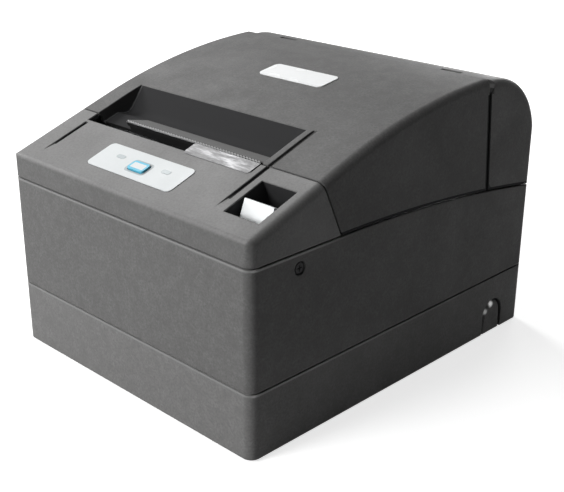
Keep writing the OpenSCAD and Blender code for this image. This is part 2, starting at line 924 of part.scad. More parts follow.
// Places children on the crown at the badge, Z square to the surface.
module badge_at() {
    a = asin(arc_sin(badge_d));
    translate([badge_x, y_of(badge_d), top_z(badge_d)])
        rotate([a, 0, 0])
            children();
}
module badge_recess() {
    badge_at()
        translate([0, 0, -0.6])
            linear_extrude(4)
                rounded(badge_w + 0.1, badge_b + 0.1, 3);
}

flange_d = 174;
module rear_cover() {
    slot_w = lid_knuckle_w + 0.8;
    color(case_grey)
    difference() {
        union() {
            difference() {
                intersection() {
                    rear_form(0);
                    across(-body_w, body_w)
                        rear_region();
                }
                rear_form(wall);
            }
            // Hinge lugs on both sides of each lid knuckle.
            lid_knuckle_places()
                for (s = [-1, 1])
                    translate([s * (lid_knuckle_w / 2 + 3.2), 0, 0]) {
                        rod([hinge_d, hinge_z], -2.5, 2.5, knuckle_r);
                        across(-2.5, 2.5)
                            polygon([[hinge_d, hinge_z - knuckle_r], [hinge_d, hinge_z],
                                [hinge_d + 3.6, hinge_z + 1.6],
                                [hinge_d + 8, body_h - rear_step - wall + 0.5],
                                [hinge_d + 16, body_h - rear_step - wall - 1],
                                [hinge_d + 10, hinge_z - knuckle_r]]);
                    }
            // Flange that drops into the mid case.
            for (side = [-1, 1])
                translate([side * (body_w / 2 - wall), y_of(flange_d), parting_z(body_d)]) {
                    translate([-side * 0.95 - 0.75, 0, -9])
                        cube([1.5, body_d - flange_d - wall - 5, 18]);
                    translate([-side * 0.5 - 0.8, 0, 7])
                        cube([1.6, body_d - flange_d - wall - 5, 3]);
                }
            translate([-body_w / 2 + wall + 5, y_of(body_d) - wall, parting_z(body_d)]) {
                translate([0, -1.7, -9])
                    cube([body_w - 2 * wall - 10, 1.5, 18]);
                translate([0, -1.3, 3])
                    cube([body_w - 2 * wall - 10, 1.6, 3]);
            }
        }
        lid_knuckle_places() {
            across(-slot_w / 2, slot_w / 2)
                polygon([[hinge_d - 9, hinge_z - 6], [hinge_d - 9, body_h],
                    [hinge_d + knuckle_r + 1, body_h], [hinge_d + knuckle_r + 1, hinge_z - 6]]);
            rod([hinge_d, hinge_z], -2 * lid_knuckle_w, 2 * lid_knuckle_w, pin_r);
        }
        for (n = [0 : 11], s = [-1, 1])
            bar([s * 32 - 20, y_of(body_d) - wall - 1, 88 + n * 3.4],
                [s * 32 + 20, y_of(body_d) + 1, 89.6 + n * 3.4]);
    }
}

module rubber_feet() {
    color(dark)
    for (sx = [-1, 1], d = [foot_in + 8, body_d - foot_in - 8])
        translate([sx * (body_w / 2 - foot_in), y_of(d), 0])
            cylinder(r = foot_r, h = foot_h + 0.8);
}

module cable_exit_cap() {
    g = -0.7;
    color(case_grey) {
        across(body_w / 2 - 2, body_w / 2 - 0.3)
            intersection() {
                arch_2d(g);
                translate([0, foot_h])
                    square([body_d, base_h]);
            }
        across(body_w / 2 - wall - 1.7, body_w / 2 - wall - 0.2)
            intersection() {
                arch_2d(1.6);
                translate([0, floor_z + 0.2])
                    square([body_d, base_h]);
            }
        across(body_w / 2 - wall - 0.3, body_w / 2 - 1.9)
            intersection() {
                arch_2d(g);
                translate([0, floor_z + 0.2])
                    square([body_d, base_h]);
            }
    }
}

module side_screws() {
    color(dark)
    side_screw_places()
        translate([0, 0, -1.8])
            screw(1.25, 5);
}

module base_screws() {
    color(steel)
    base_screw_places()
        translate([0, 0, foot_h + 3])
            rotate([180, 0, 0])
                screw(1.25, base_h + 8 - foot_h - 3);
}

// ---------- front panel ----------

module label_plate() {
    color(white)
    panel_at()
        translate([0, 0, -panel_sink])
            linear_extrude(panel_t)
                difference() {
                    rounded(panel_w, panel_b, 3);
                    led_holes(0.1);
                    button_hole(0.4);
                }
}

module led_lenses() {
    color([0.75, 0.8, 0.8])
    panel_at()
        translate([0, 0, -3])
            linear_extrude(3 + panel_t - panel_sink + 0.1)
                led_holes(0);
}

module feed_button() {
    color(white)
    panel_at() {
        translate([0, 0, -wall - 1.2])
            linear_extrude(wall + 1.2 + panel_t - panel_sink + 0.9)
                button_hole(0);
        translate([0, 0, -wall - 1.2])
            linear_extrude(1.1)
                button_hole(2);
        translate([button_at.x, button_at.y, -wall - 1.6])
            cylinder(r = 1.6, h = 1);
    }
}

module panel_board() {
    top = -wall - 2.3 - button_travel;
    color(board_green)
    panel_at() {
        translate([0, 0, top - panel_board_t])
            linear_extrude(panel_board_t)
                rounded(panel_w - 6, panel_b - 2, 1.5);
        for (x = led_x)
            translate([x, led_u, top - tiny])
                cylinder(r = 1.2, h = -3.2 - top);
        translate([button_at.x - 3, button_at.y - 3, top - tiny])
            cube([6, 6, 0.6]);
        for (x = [-panel_w / 2 + 6, panel_w / 2 - 6])
            translate([x, -panel_b / 2 + 3.5, top - tiny])
                cylinder(r = 2, h = -wall - top - 0.05);
    }
}

module badge_plate() {
    color(white)
    badge_at()
        translate([0, 0, -0.6])
            linear_extrude(badge_t)
                rounded(badge_w, badge_b, 3);
}

// ---------- latch ----------

lever_t = 2.6;
module latch_lever() {
    x0 = pocket_x + 1.7 - exit_x;
    x1 = pocket_x + pocket_w - 1.7 - exit_x;
    arm_x = (x0 + x1) / 2;
    top = [lever_u, platen_drop];
    low = top - [6.6, 7.4];
    face = unit(top - low);
    back = [face.y, -face.x] * lever_t;
    color(white) {
        mech_across(x0, x1)
            polygon([low, top, top + back, low + back]);
        difference() {
            union() {
                mech_across(arm_x - 3, arm_x + 3)
                    polygon([low + back * 0.5, top + back * 0.5 - face * 2, top + back + [0.5, -5],
                        latch_at + [3, 3], latch_at + [-3.6, 2]]);
                mech_rod(latch_at, arm_x - 5, arm_x + 5, latch_r + 2.5);
            }
            mech_rod(latch_at, arm_x - 6, arm_x + 6, latch_r);
        }
    }
}

module latch_shaft() {
    color(steel)
    mech_rod(latch_at, -hook_left_x - hook_t - 1.5, pocket_x + pocket_w / 2 + 7 - exit_x, latch_r);
}

// Side plate of the latch that reaches under and up behind the platen shaft.
module hook_2d() {
    reach = shaft_r + 0.6;
    difference() {
        union() {
            translate(latch_at)
                circle(latch_r + 2.5);
            polygon([latch_at + [0, 4.5], latch_at + [2, -4.5], [5, -9.5], [reach + 5, -6],
                [reach + 5, shaft_r + 3.5], [reach + 1.5, shaft_r + 3.5], [reach, shaft_r + 1],
                [reach + 1.5, shaft_r], [reach + 1.5, -3.5], [2, -5.5]]);
        }
        translate(latch_at)
            circle(latch_r);
    }
}

module latch_hooks() {
    color(steel) {
        mech_across(-hook_left_x - hook_t, -hook_left_x)
            hook_2d();
        mech_across(hook_right_x, hook_right_x + hook_t)
            hook_2d();
    }
}

module latch_spring() {
    color(steel)
    mech()
        translate([plate_x + plate_t + 6.5, latch_at.x, latch_at.y])
            rotate([0, 90, 0])
                coil(latch_r + 0.9, 0.4, 6, 8);
}

// ---------- hinge ----------

module lid_hinge_pins() {
    color(steel)
    for (s = [-1, 1])
        translate([s * (hinge_x - 3.5), 0, 0])
            rod([hinge_d, hinge_z], -lid_knuckle_w / 2 - 9.2, lid_knuckle_w / 2 + 9.2, pin_r);
}

module hinge_springs() {
    color(steel)
    for (s = [-1, 1])
        translate([s * (hinge_x - lid_knuckle_w / 2 - 9) - 3, y_of(hinge_d), hinge_z])
            rotate([0, 90, 0])
                coil(pin_r + 0.3, 0.25, 6, 6);
}

// ---------- platen on the lid ----------

bush_r = 5;
module platen_rubber() {
    color(dark)
    difference() {
        mech_rod([0, 0], -platen_len / 2, platen_len / 2, platen_r);
        mech_rod([0, 0], -platen_len, platen_len, shaft_r);
    }
}

module platen_shaft() {
    color(steel)
    mech_rod([0, 0], -hook_left_x - hook_t - 0.8, hook_right_x + hook_t + 1, shaft_r);
}

module platen_gear() {
    color([0.9, 0.88, 0.8])
    side_gear(platen_at, platen_teeth, platen_turn, exit_x - gear_x - gear_w, exit_x - gear_x, shaft_r);
}

module platen_bushes() {
    color([0.55, 0.45, 0.3])
    for (s = [-1, 1])
        difference() {
            mech_rod([0, 0], s * (bracket_x + bracket_t / 2) - bracket_t / 2,
                s * (bracket_x + bracket_t / 2) + bracket_t / 2, bush_r);
            mech_rod([0, 0], -2 * platen_len, 2 * platen_len, shaft_r + play);
        }
}

module platen_bracket() {
    under = scoop_at.y - lip_t - 0.05;
    color(steel)
    difference() {
        union() {
            for (s = [-1, 1])
                mech_across(s * (bracket_x + bracket_t / 2) - bracket_t / 2,
                    s * (bracket_x + bracket_t / 2) + bracket_t / 2) {
                    circle(bush_r + 2);
                    polygon([[-6, 0], [-3, under], [scoop_at.x + 3, under],
                        [scoop_at.x + 3, under - 2], [6.5, -2]]);
                }
            mech()
                translate([-bracket_x - tiny, scoop_at.x - 2.8, under - 1.2])
                    cube([2 * bracket_x + 2 * tiny, 5.6, 1.2]);
        }
        mech_rod([0, 0], -2 * platen_len, 2 * platen_len, bush_r);
    }
}

// Serrated steel strip on the front of the lid's lip.
tear_t = 0.8;
tooth = 2;
module tear_bar() {
    x0 = -exit_w / 2 + notch_w;
    x1 = exit_w / 2 - 1;
    count = floor((x1 - x0) / tooth);
    color(steel)
    mech()
        translate([0, tear_u - 0.05, 0])
            rotate([90, 0, 0])
                linear_extrude(tear_t)
                    polygon(concat([[x0, platen_drop - 3], [x0, platen_drop - 0.6]],
                        [for (n = [0 : count - 1], k = [0, 1])
                            [x0 + (n + k / 2) * tooth + 0.3, platen_drop - 0.6 + k * 0.9]],
                        [[x0 + count * tooth, platen_drop - 0.6], [x0 + count * tooth, platen_drop - 3]]));
}

module fixed_blade() {
    half = platen_len / 2 + 0.5;
    color([0.8, 0.81, 0.83])
    mech_flat(fixed_w, fixed_w + blade_t)
        polygon([[-half, head_u + 0.9], [half, head_u + 0.9], [half, tear_u + 6.5], [-half, tear_u + 6.5]]);
}

// ---------- printing frame in the base ----------

module frame_side_2d() {
    slot_half = shaft_r + 0.6;
    polygon([[blade_back_u, tray_w - 2], [blade_back_u, frame_w + 3], [-17, frame_w + 3],
        [head_u - 1, 6], [-slot_half, 6], [-slot_half, 0], [slot_half, 0], [slot_half, 6],
        [slot_half + 4, 4], [slot_half + 6, -6], [-2, -30], [-24, -26], [-26, tray_w - 8]]);
}

module mechanism_frame() {
    front = platen_d - 28;
    rear = platen_d + 7;
    color(steel) {
        difference() {
            union() {
                for (s = [-1, 1]) {
                    x = s * (plate_x + plate_t / 2);
                    difference() {
                        union() {
                            mech_across(x - plate_t / 2, x + plate_t / 2)
                                frame_side_2d();
                            across(exit_x + x - plate_t / 2, exit_x + x + plate_t / 2)
                                polygon([[front, base_plate_z], [front, base_plate_z + 30],
                                    [front + 6, platen_z - 19.5], [platen_d, platen_z - 19.5],
                                    [rear, platen_z - 27.5], [rear, base_plate_z]]);
                        }
                        mech_rod([0, 0], -platen_len, platen_len, shaft_r + 0.6);
                    }
                }
                bar([exit_x - plate_x - tiny, y_of(front), base_plate_z],
                    [exit_x + plate_x + tiny, y_of(rear + 3), base_plate_z + plate_t]);
            }
            for (x = column_x, d = column_d)
                translate([x, y_of(d), base_plate_z - 1])
                    cylinder(r = 1.6, h = 4);
            mech_rod(head_pin_at, -platen_len, platen_len, pin_r);
            mech_rod(latch_at, -platen_len, platen_len, latch_r + play);
            rod(idler_at, exit_x - platen_len, exit_x, 2);
            rod(motor_at, exit_x - platen_len, exit_x, 2.6);
        }
    }
}

module frame_screws() {
    color(steel)
    for (x = column_x, d = column_d)
        translate([x, y_of(d), base_plate_z + plate_t])
            screw(1.3, 9);
}

module idler_gear() {
    x0 = exit_x - gear_x - gear_w;
    color([0.9, 0.88, 0.8])
    difference() {
        side_gear(idler_at, idler_teeth, idler_turn, x0, x0 + gear_w, 2 + play);
        for (a = [0 : 60 : 300])
            translate([0, 8.6 * cos(a), 8.6 * sin(a)])
                rod(idler_at, x0 - 1, x0 + gear_w + 1, 2.6);
    }
}

module idler_pin() {
    x1 = exit_x - plate_x;
    color(steel) {
        rod(idler_at, exit_x - gear_x - gear_w - 0.8, x1, 2);
        rod(idler_at, exit_x - gear_x - gear_w - 1.8, exit_x - gear_x - gear_w - 0.4, 3.4);
    }
}

module feed_motor() {
    x0 = exit_x - plate_x;
    color([0.35, 0.36, 0.38]) {
        rod(motor_at, x0, x0 + motor_len, motor_r);
        rod(motor_at, x0 + motor_len - tiny, x0 + motor_len + 2, 5);
    }
}

module motor_pinion() {
    x0 = exit_x - gear_x - gear_w;
    color([0.75, 0.65, 0.35]) {
        side_gear(motor_at, pinion_teeth, pinion_turn, x0, x0 + gear_w, 1);
        rod(motor_at, x0 - 0.6, exit_x - plate_x - 0.1, 1.2);
    }
}

module print_head() {
    color([0.85, 0.83, 0.78])
    mech_across(-platen_len / 2, platen_len / 2) {
        translate([head_u - 1, head_w0 + 6])
            square([1, head_h - 6]);
    }
}

module heat_sink() {
    fins = 14;
    half = platen_len / 2;
    color([0.7, 0.71, 0.73])
    difference() {
        mech_across(-half, half)
            translate([head_u - head_t, head_w0])
                square([head_t - 1, head_h]);
        for (n = [0 : fins - 1])
            mech()
                translate([-half + 4.4 + n * 8, head_u - head_t - 1, head_w0 + 7])
                    cube([3, 3, 6.5]);
        mech_rod(head_pin_at, -platen_len, platen_len, pin_r + play);
    }
}

module head_pin() {
    reach = plate_x + plate_t + 0.4;
    color(steel)
    mech_rod(head_pin_at, -reach, reach, pin_r);
}

spring_gap = 0.5;
spring_len = 6;
spring_w = head_w0 + 16.5;
spring_x = [-40, 0, 40];
module head_springs() {
    color(steel)
    for (x = spring_x)
        mech()
            translate([x, head_u - head_t - spring_gap, spring_w])
                rotate([90, 0, 0])
                    coil(2.3, 0.35, 4.5, spring_len);
}

module spring_plate() {
    u1 = head_u - head_t - spring_gap - spring_len - 0.1;
    color(steel) {
        mech()
            translate([-plate_x + 0.05, u1 - plate_t, spring_w - 5])
                cube([2 * plate_x - 0.1, plate_t, 10]);
        for (x = spring_x)
            mech()
                translate([x, u1 - tiny, spring_w])
                    rotate([-90, 0, 0])
                        cylinder(r = 1.6, h = 3);
    }
}

// Curved guide that leads the paper from the bucket up to the platen.
module paper_guide() {
    inner = platen_r + 1.2;
    outer = inner + 1.6;
    half = plate_x - 0.1;
    color(dark) {
        mech_across(-half, half)
            difference() {
                circle(outer);
                circle(inner);
                polygon([[0, 0], [-40, -46], [-40, 40], [40, 40], [40, -4]]);
            }
        mech_across(-half, half)
            polygon([[-2.5, -outer - 4], [-2.5, -inner - 0.8], [1.5, -inner - 0.8], [1.5, -outer - 4]]);
    }
}

// ---------- cutter ----------

module cutter_frame() {
    half = plate_x - 0.05;
    color(steel)
    difference() {
        mech_flat(frame_w, frame_w + plate_t)
            translate([-half, blade_back_u + 1])
                square([2 * half, blade_tip_u - 2.2 - blade_back_u]);
        mech()
            translate([cutter_at.x, cutter_at.y, 0])
                cylinder(r = 1.5, h = 40);
    }
}

module cutter_tray() {
    half = plate_x - 0.05;
    rail = 6;
    color([0.2, 0.2, 0.21])
    difference() {
        union() {
            mech_flat(tray_w, tray_w + plate_t)
                translate([-half, blade_back_u + 1])
                    square([2 * half, 27]);
            for (x = [-half, half - rail])
                mech()
                    translate([x, blade_back_u + 1, tray_w])
                        cube([rail, 32, moving_w - 0.1 - tray_w]);
        }
        mech()
            translate([cutter_at.x, cutter_at.y, 0])
                cylinder(r = 1.5, h = 10);
        mech()
            translate([cutter_motor_at.x, cutter_motor_at.y, 0])
                cylinder(r = 3, h = 10);
    }
}

// Rack along u: teeth on its +x side, phase such that a gap faces the pinion.
rack_n = 8;
function rack_teeth(x, u) =
    let (p = PI * gear_m, h = p / 4 - backlash / 2, ta = tan(pressure))
    [for (n = [0 : rack_n - 1], k = [0 : 3])
        let (c = u + (n + 0.5) * p,
            off = k == 0 ? -h - 1.1 * gear_m * ta : k == 1 ? -h + 0.9 * gear_m * ta
                : k == 2 ? h - 0.9 * gear_m * ta : h + 1.1 * gear_m * ta,
            out = k == 0 || k == 3 ? -1.1 * gear_m : 0.9 * gear_m)
        [x + out, c + off]];

module moving_blade() {
    half = platen_len / 2;
    p = PI * gear_m;
    u0 = cutter_at.y - p * 6;
    u1 = u0 + rack_n * p;
    clear_x = cutter_at.x + pitch_r(pinion_teeth) + gear_m + 1.5;
    color([0.8, 0.81, 0.83])
    mech_flat(moving_w, moving_w + blade_t)
        difference() {
            polygon([[-half, blade_back_u + 2], [half, blade_back_u + 2], [half, blade_tip_u],
                [0, blade_tip_u - blade_vee], [-half, blade_tip_u]]);
            polygon(concat([[clear_x, u0 - 1], [rack_x - 1.1 * gear_m, u0 - 1]],
                rack_teeth(rack_x, u0), [[rack_x - 1.1 * gear_m, u1 + 1], [clear_x, u1 + 1]]));
        }
}

cutter_turn = 180;
module cutter_gear() {
    mid = cutter_gear_w0 + 2.6;
    color([0.9, 0.88, 0.8]) {
        mech_flat(cutter_gear_w0, mid)
            translate(cutter_at)
                gear_2d(cutter_teeth, 0, 1.5 + play);
        mech_flat(mid - tiny, cut_w)
            translate(cutter_at)
                gear_2d(pinion_teeth, cutter_turn, 1.5 + play);
    }
}

module cutter_pin() {
    color(steel)
    mech()
        translate([cutter_at.x, cutter_at.y, tray_w])
            cylinder(r = 1.5, h = frame_w + plate_t - tray_w);
}

module cutter_motor() {
    color([0.35, 0.36, 0.38])
    mech()
        translate([cutter_motor_at.x, cutter_motor_at.y, tray_w - cutter_motor_len]) {
            cylinder(r = cutter_motor_r, h = cutter_motor_len);
            translate([0, 0, -2])
                cylinder(r = 3, h = 2 + tiny);
        }
}

module cutter_pinion() {
    turn = mesh_turn(0, 0, cutter_teeth, pinion_teeth);
    color([0.75, 0.65, 0.35]) {
        mech_flat(cutter_gear_w0, cutter_gear_w0 + 2.6)
            translate(cutter_motor_at)
                gear_2d(pinion_teeth, turn, 0.8);
        mech()
            translate([cutter_motor_at.x, cutter_motor_at.y, tray_w + 0.1])
                cylinder(r = 1, h = cutter_gear_w0 + 2.4 - tray_w);
    }
}

// Bright strip that closes the right part of the slot.
module slot_cover() {
    x0 = 5 - exit_x;
    x1 = exit_w / 2 - 1;
    far = head_u - 0.4;
    color([0.85, 0.86, 0.88])
    mech_across(x0, x1)
        polygon([[slot_u + 0.2, frame_w + plate_t + 0.02], [slot_u + 0.2, platen_drop - 0.5],
            [far, platen_drop - 0.5], [far, platen_drop - 1.3], [slot_u + 1, platen_drop - 1.3],
            [slot_u + 1, frame_w + plate_t + 0.02]]);
}

// ---------- roll bucket ----------

module roll_bucket() {
    half = bucket_x;
    d0 = 84;
    d1 = 163;
    rim = trough_r + bucket_t;
    color([0.16, 0.16, 0.17])
    difference() {
        union() {
            // Trough under the roll.
            difference() {
                rod([roll_d, roll_z], exit_x - half, exit_x + half, rim);
                rod([roll_d, roll_z], exit_x - half - 1, exit_x + half + 1, trough_r);
                bar([-body_w, y_of(0), deck_z + 2], [body_w, y_of(body_d), 2 * body_h]);
            }
            // Cheeks beside the roll.
            for (x = [exit_x - half, exit_x + half - bucket_t])
                intersection() {
                    rod([roll_d, roll_z], x, x + bucket_t, rim);
                    bar([-body_w, y_of(roll_d - rim), 0], [body_w, y_of(roll_d + rim), roll_z + 6]);
                }
            // Deck that rests on the mid case.
            bar([-body_w / 2 + wall + 0.3, y_of(d0), deck_z],
                [exit_x - half + tiny, y_of(d1), deck_z + 2]);
            bar([exit_x + half - tiny, y_of(d0), deck_z],
                [body_w / 2 - wall - 0.3, y_of(d1), deck_z + 2]);
        }
        rod([roll_d, roll_z], exit_x - half + bucket_t, exit_x + half - bucket_t, trough_r);
    }
}

module paper_sensor() {
    color(dark)
    mech()
        translate([-30, -5.9, -platen_r - 9.5])
            cube([9, 3.2, 6]);
}

module cover_switch() {
    color([0.15, 0.15, 0.16]) {
        mech()
            translate([plate_x + plate_t + 0.05, -7, -16.5]) {
                cube([2.9, 11, 6.2]);
                translate([1.45, 6.5, 5])
                    cylinder(r = 1, h = 4);
            }
    }
}

// ---------- electronics ----------

module main_board() {
    color(board_green)
    difference() {
        bar([board_x0, y_of(board_d0), board_z], [board_x1, y_of(board_d1), board_z + board_t]);
        board_screw_places()
            cylinder(r = 1.4, h = board_z + 10);
    }
}

module board_parts() {
    z = board_z + board_t;
    color(dark) {
        bar([-20, y_of(104), z], [0, y_of(124), z + 1.6]);
        bar([14, y_of(98), z], [26, y_of(110), z + 1.4]);
        bar([-52, y_of(100), z], [-38, y_of(108), z + 1.2]);
        bar([30, y_of(120), z], [48, y_of(126), z + 2]);
        for (n = [0 : 3])
            bar([-56, y_of(114) + n * 6, z], [-50, y_of(118) + n * 6, z + 4]);
    }
    color([0.2, 0.22, 0.3])
    for (p = [[-62, 134], [-50, 142], [40, 140], [52, 132]])
        translate([p.x, y_of(p.y), z])
            cylinder(r = 5, h = 16);
    color(white)
    for (n = [0 : 3])
        bar([-36 + n * 20, y_of(87), z], [-22 + n * 20, y_of(92), z + 6]);
    color(steel)
    for (n = [0 : 6])
        bar([2 + n * 4, y_of(134), z], [3.5 + n * 4, y_of(153), z + 14]);
    color(steel)
    bar([2, y_of(134), z + 14 - tiny], [27.5, y_of(153), z + 15.2]);
}

module board_screws() {
    color(steel)
    board_screw_places()
        translate([0, 0, board_z + board_t])
            screw(1.1, board_t + 4);
}

socket_z = board_z + board_t;
serial_x = -6;
usb_x = 30;
drawer_x = 50;
inlet_x = -48;
serial_w = 31;
jack_pitch = 47.04;
module interface_plate() {
    color(steel)
    difference() {
        bar([-body_w / 2 + wall + 0.4, y_of(panel_back_d), floor_z],
            [body_w / 2 - wall - 0.4, y_of(panel_back_d) + plate_t, base_h - 2]);
        bar([serial_x - serial_w / 2 - 4, y_of(panel_back_d) - 1, socket_z + 1],
            [serial_x + serial_w / 2 + 4, y_of(panel_back_d) + 3, socket_z + 12.4]);
        for (s = [-1, 1])
            translate([serial_x + s * jack_pitch / 2, y_of(panel_back_d) - 1, socket_z + 6.7])
                rotate([-90, 0, 0])
                    cylinder(r = 1.6, h = 5);
        bar([usb_x - 6.3, y_of(panel_back_d) - 1, socket_z - 0.2],
            [usb_x + 6.3, y_of(panel_back_d) + 3, socket_z + 11.3]);
        bar([drawer_x - 6.8, y_of(panel_back_d) - 1, socket_z - 0.2],
            [drawer_x + 6.8, y_of(panel_back_d) + 3, socket_z + 13.3]);
        bar([inlet_x - 7.3, y_of(panel_back_d) - 1, socket_z - 0.2],
            [inlet_x + 7.3, y_of(panel_back_d) + 3, socket_z + 13.3]);
    }
}

// Outline of the 25-way socket's shell, wide side up.
module shell_2d() {
    w = serial_w / 2 + 3.6;
    polygon([[-w + 1.2, 4], [w - 1.2, 4], [w, 2.8], [w - 1.2, -3], [w - 2.8, -4], [2.8 - w, -4],
        [1.2 - w, -3], [-w, 2.8]]);
}

module serial_socket() {
    zc = socket_z + 6.7;
    half = jack_pitch / 2 + 3;
    back = y_of(panel_back_d);
    color(steel)
    difference() {
        union() {
            bar([serial_x - half, back - 1.2, zc - 6], [serial_x + half, back - 0.1, zc + 6]);
            bar([serial_x - serial_w / 2 - 3.5, back - 10, socket_z],
                [serial_x + serial_w / 2 + 3.5, back - 1.1, zc + 5.4]);
            translate([serial_x, back + 6, zc])
                rotate([90, 0, 0])
                    linear_extrude(6.2)
                        shell_2d();
        }
        for (s = [-1, 1])
            translate([serial_x + s * jack_pitch / 2, back - 12, zc])
                rotate([-90, 0, 0])
                    cylinder(r = 1.25, h = 14);
        for (row = [0, 1], n = [0 : 12 - row])
            translate([serial_x + (n - 6 + row / 2) * 2.76, back + 1.5, zc + 1.4 - row * 2.8])
                rotate([-90, 0, 0])
                    cylinder(r = 0.55, h = 5, $fn = 16);
    }
}

module usb_socket() {
    back = y_of(panel_back_d) + plate_t;
    color(steel)
    difference() {
        bar([usb_x - 6, back - 16, socket_z], [usb_x + 6, back + 0.6, socket_z + 11]);
        bar([usb_x - 4.4, back - 8, socket_z + 1.5], [usb_x + 4.4, back + 1, socket_z + 9.5]);
    }
    color(white)
    bar([usb_x - 2.8, back - 8.1, socket_z + 3.8], [usb_x + 2.8, back, socket_z + 7]);
}

module drawer_socket() {
    back = y_of(panel_back_d) + plate_t;
    color(dark)
    difference() {
        bar([drawer_x - 6.5, back - 15, socket_z], [drawer_x + 6.5, back + 0.6, socket_z + 13]);
        bar([drawer_x - 4.9, back - 12, socket_z + 2], [drawer_x + 4.9, back + 1, socket_z + 9]);
        bar([drawer_x - 2.5, back - 12, socket_z + 8.9], [drawer_x + 2.5, back + 1, socket_z + 11.5]);
    }
}

inlet_r = 4.9;
inlet_deep = 9;
module power_inlet() {
    back = y_of(panel_back_d) + plate_t;
    color(dark)
    difference() {
        bar([inlet_x - 7, back - 14, socket_z], [inlet_x + 7, back + 0.6, socket_z + 13]);
        translate([inlet_x, back + 0.6 - inlet_deep, socket_z + 6.5])
            rotate([-90, 0, 0])
                cylinder(r = inlet_r, h = inlet_deep + 1);
    }
}

// ---------- power switch on the left side ----------

rocker_t = 3;
rocker_swing = 14;
pivot_in = 3.8;
module switch_housing() {
    dl = switch_len - 0.2;
    dh = switch_high - 0.2;
    color(dark)
    translate([-body_w / 2, y_of(switch_d), switch_z]) {
        difference() {
            translate([0.4, -dl / 2, -dh / 2])
                cube([15, dl, dh]);
            translate([0, -dl / 2 + 1.2, -dh / 2 + 1.2])
                cube([10.5, dl - 2.4, dh - 2.4]);
        }
        translate([pivot_in, 0, -dh / 2])
            cylinder(r = 0.85, h = dh);
    }
}

module power_switch() {
    half = switch_len / 2 - 2.2;
    high = switch_high - 3.4;
    color([0.08, 0.08, 0.09])
    translate([-body_w / 2 + pivot_in, y_of(switch_d), switch_z - high / 2])
        linear_extrude(high)
            difference() {
                polygon([[1.8, -half], [-3.4, -half], [-1.5, 0], [-1.8, half], [1.8, half]]);
                circle(0.9);
            }
}

// ---------- assembly ----------
lower_case();
mid_case();
front_cover();
lid();
rear_cover();
rubber_feet();
cable_exit_cap();
side_screws();
base_screws();
label_plate();
led_lenses();
feed_button();
panel_board();
badge_plate();
latch_lever();
latch_shaft();
latch_hooks();
latch_spring();
lid_hinge_pins();
hinge_springs();
platen_rubber();
platen_shaft();
platen_gear();
platen_bushes();
platen_bracket();
tear_bar();
fixed_blade();
mechanism_frame();
frame_screws();
idler_gear();
idler_pin();
feed_motor();
motor_pinion();
print_head();
heat_sink();
head_pin();
head_springs();
spring_plate();
paper_guide();
cutter_frame();
cutter_tray();
moving_blade();
cutter_gear();
cutter_pin();
cutter_motor();
cutter_pinion();
slot_cover();
roll_bucket();
paper_sensor();
cover_switch();
main_board();
board_parts();
board_screws();
interface_plate();
serial_socket();
usb_socket();
drawer_socket();
power_inlet();
power_switch();
switch_housing();
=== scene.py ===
import json
from math import atan, cos, pi, radians, sin, sqrt

import bmesh
import bpy
from mathutils import Matrix, Vector


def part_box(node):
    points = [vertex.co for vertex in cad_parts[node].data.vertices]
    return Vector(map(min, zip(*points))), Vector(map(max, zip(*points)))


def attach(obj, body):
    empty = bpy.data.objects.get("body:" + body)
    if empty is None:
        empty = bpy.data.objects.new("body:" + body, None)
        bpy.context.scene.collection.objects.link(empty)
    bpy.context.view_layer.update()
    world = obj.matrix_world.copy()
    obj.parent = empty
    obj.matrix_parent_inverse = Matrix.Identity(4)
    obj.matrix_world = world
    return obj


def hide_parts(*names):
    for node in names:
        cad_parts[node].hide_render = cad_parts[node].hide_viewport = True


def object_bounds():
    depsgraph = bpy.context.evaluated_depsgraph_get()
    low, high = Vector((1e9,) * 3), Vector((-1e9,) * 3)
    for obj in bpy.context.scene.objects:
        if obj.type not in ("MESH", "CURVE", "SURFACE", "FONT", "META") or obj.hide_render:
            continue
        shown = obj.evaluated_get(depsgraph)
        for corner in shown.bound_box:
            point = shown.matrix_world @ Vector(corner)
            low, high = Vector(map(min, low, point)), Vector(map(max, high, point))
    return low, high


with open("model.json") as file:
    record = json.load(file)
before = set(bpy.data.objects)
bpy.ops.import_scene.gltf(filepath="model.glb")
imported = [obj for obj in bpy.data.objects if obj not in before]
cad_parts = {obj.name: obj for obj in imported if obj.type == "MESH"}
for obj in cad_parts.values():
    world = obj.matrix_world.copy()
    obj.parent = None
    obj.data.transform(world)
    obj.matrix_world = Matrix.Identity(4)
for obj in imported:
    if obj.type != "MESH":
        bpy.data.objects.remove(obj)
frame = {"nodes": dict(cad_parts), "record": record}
cad_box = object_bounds()
nodes = frame["nodes"]
scene = bpy.context.scene
scene.view_settings.view_transform = "Standard"

MM = 0.001
X = Vector((1, 0, 0))
Y = Vector((0, 1, 0))
Z = Vector((0, 0, 1))


# ---------- lines of the case, in millimetres ----------

HALF_WIDTH = cad_box[1][0] / MM
HALF_DEPTH = cad_box[1][1] / MM
WALL = 2.5

# Heights of the seam over the lower case, and of the seam over the middle one where that is level.
BASE_SEAM = 34.4
FRONT_SEAM = 93.8

# Towards the rear that second seam falls along an arc: its centre in metres, and its radius.
PARTING = Vector((0, -0.0495, -0.8662))
PARTING_R = 960
# Height over the arc at which the chamfers of the lid and the rear cover end.
CHAMFER_TOP = 1.7

# The lid's rear edge is 4 further back at its foot, 51.4 lower down. The direction square to it, where
# it lies along that, and where the rear cover's chamfer beside it ends.
REAR_LEAN = atan(4 / 51.4)
REAR_SEAM = Vector((0, cos(REAR_LEAN), sin(REAR_LEAN)))
REAR_BOUND = 70.1
REAR_CHAMFER_END = REAR_BOUND + 2.4
# Over this height the gap behind the lid is upright, and wider.
WIDE_GAP = 139

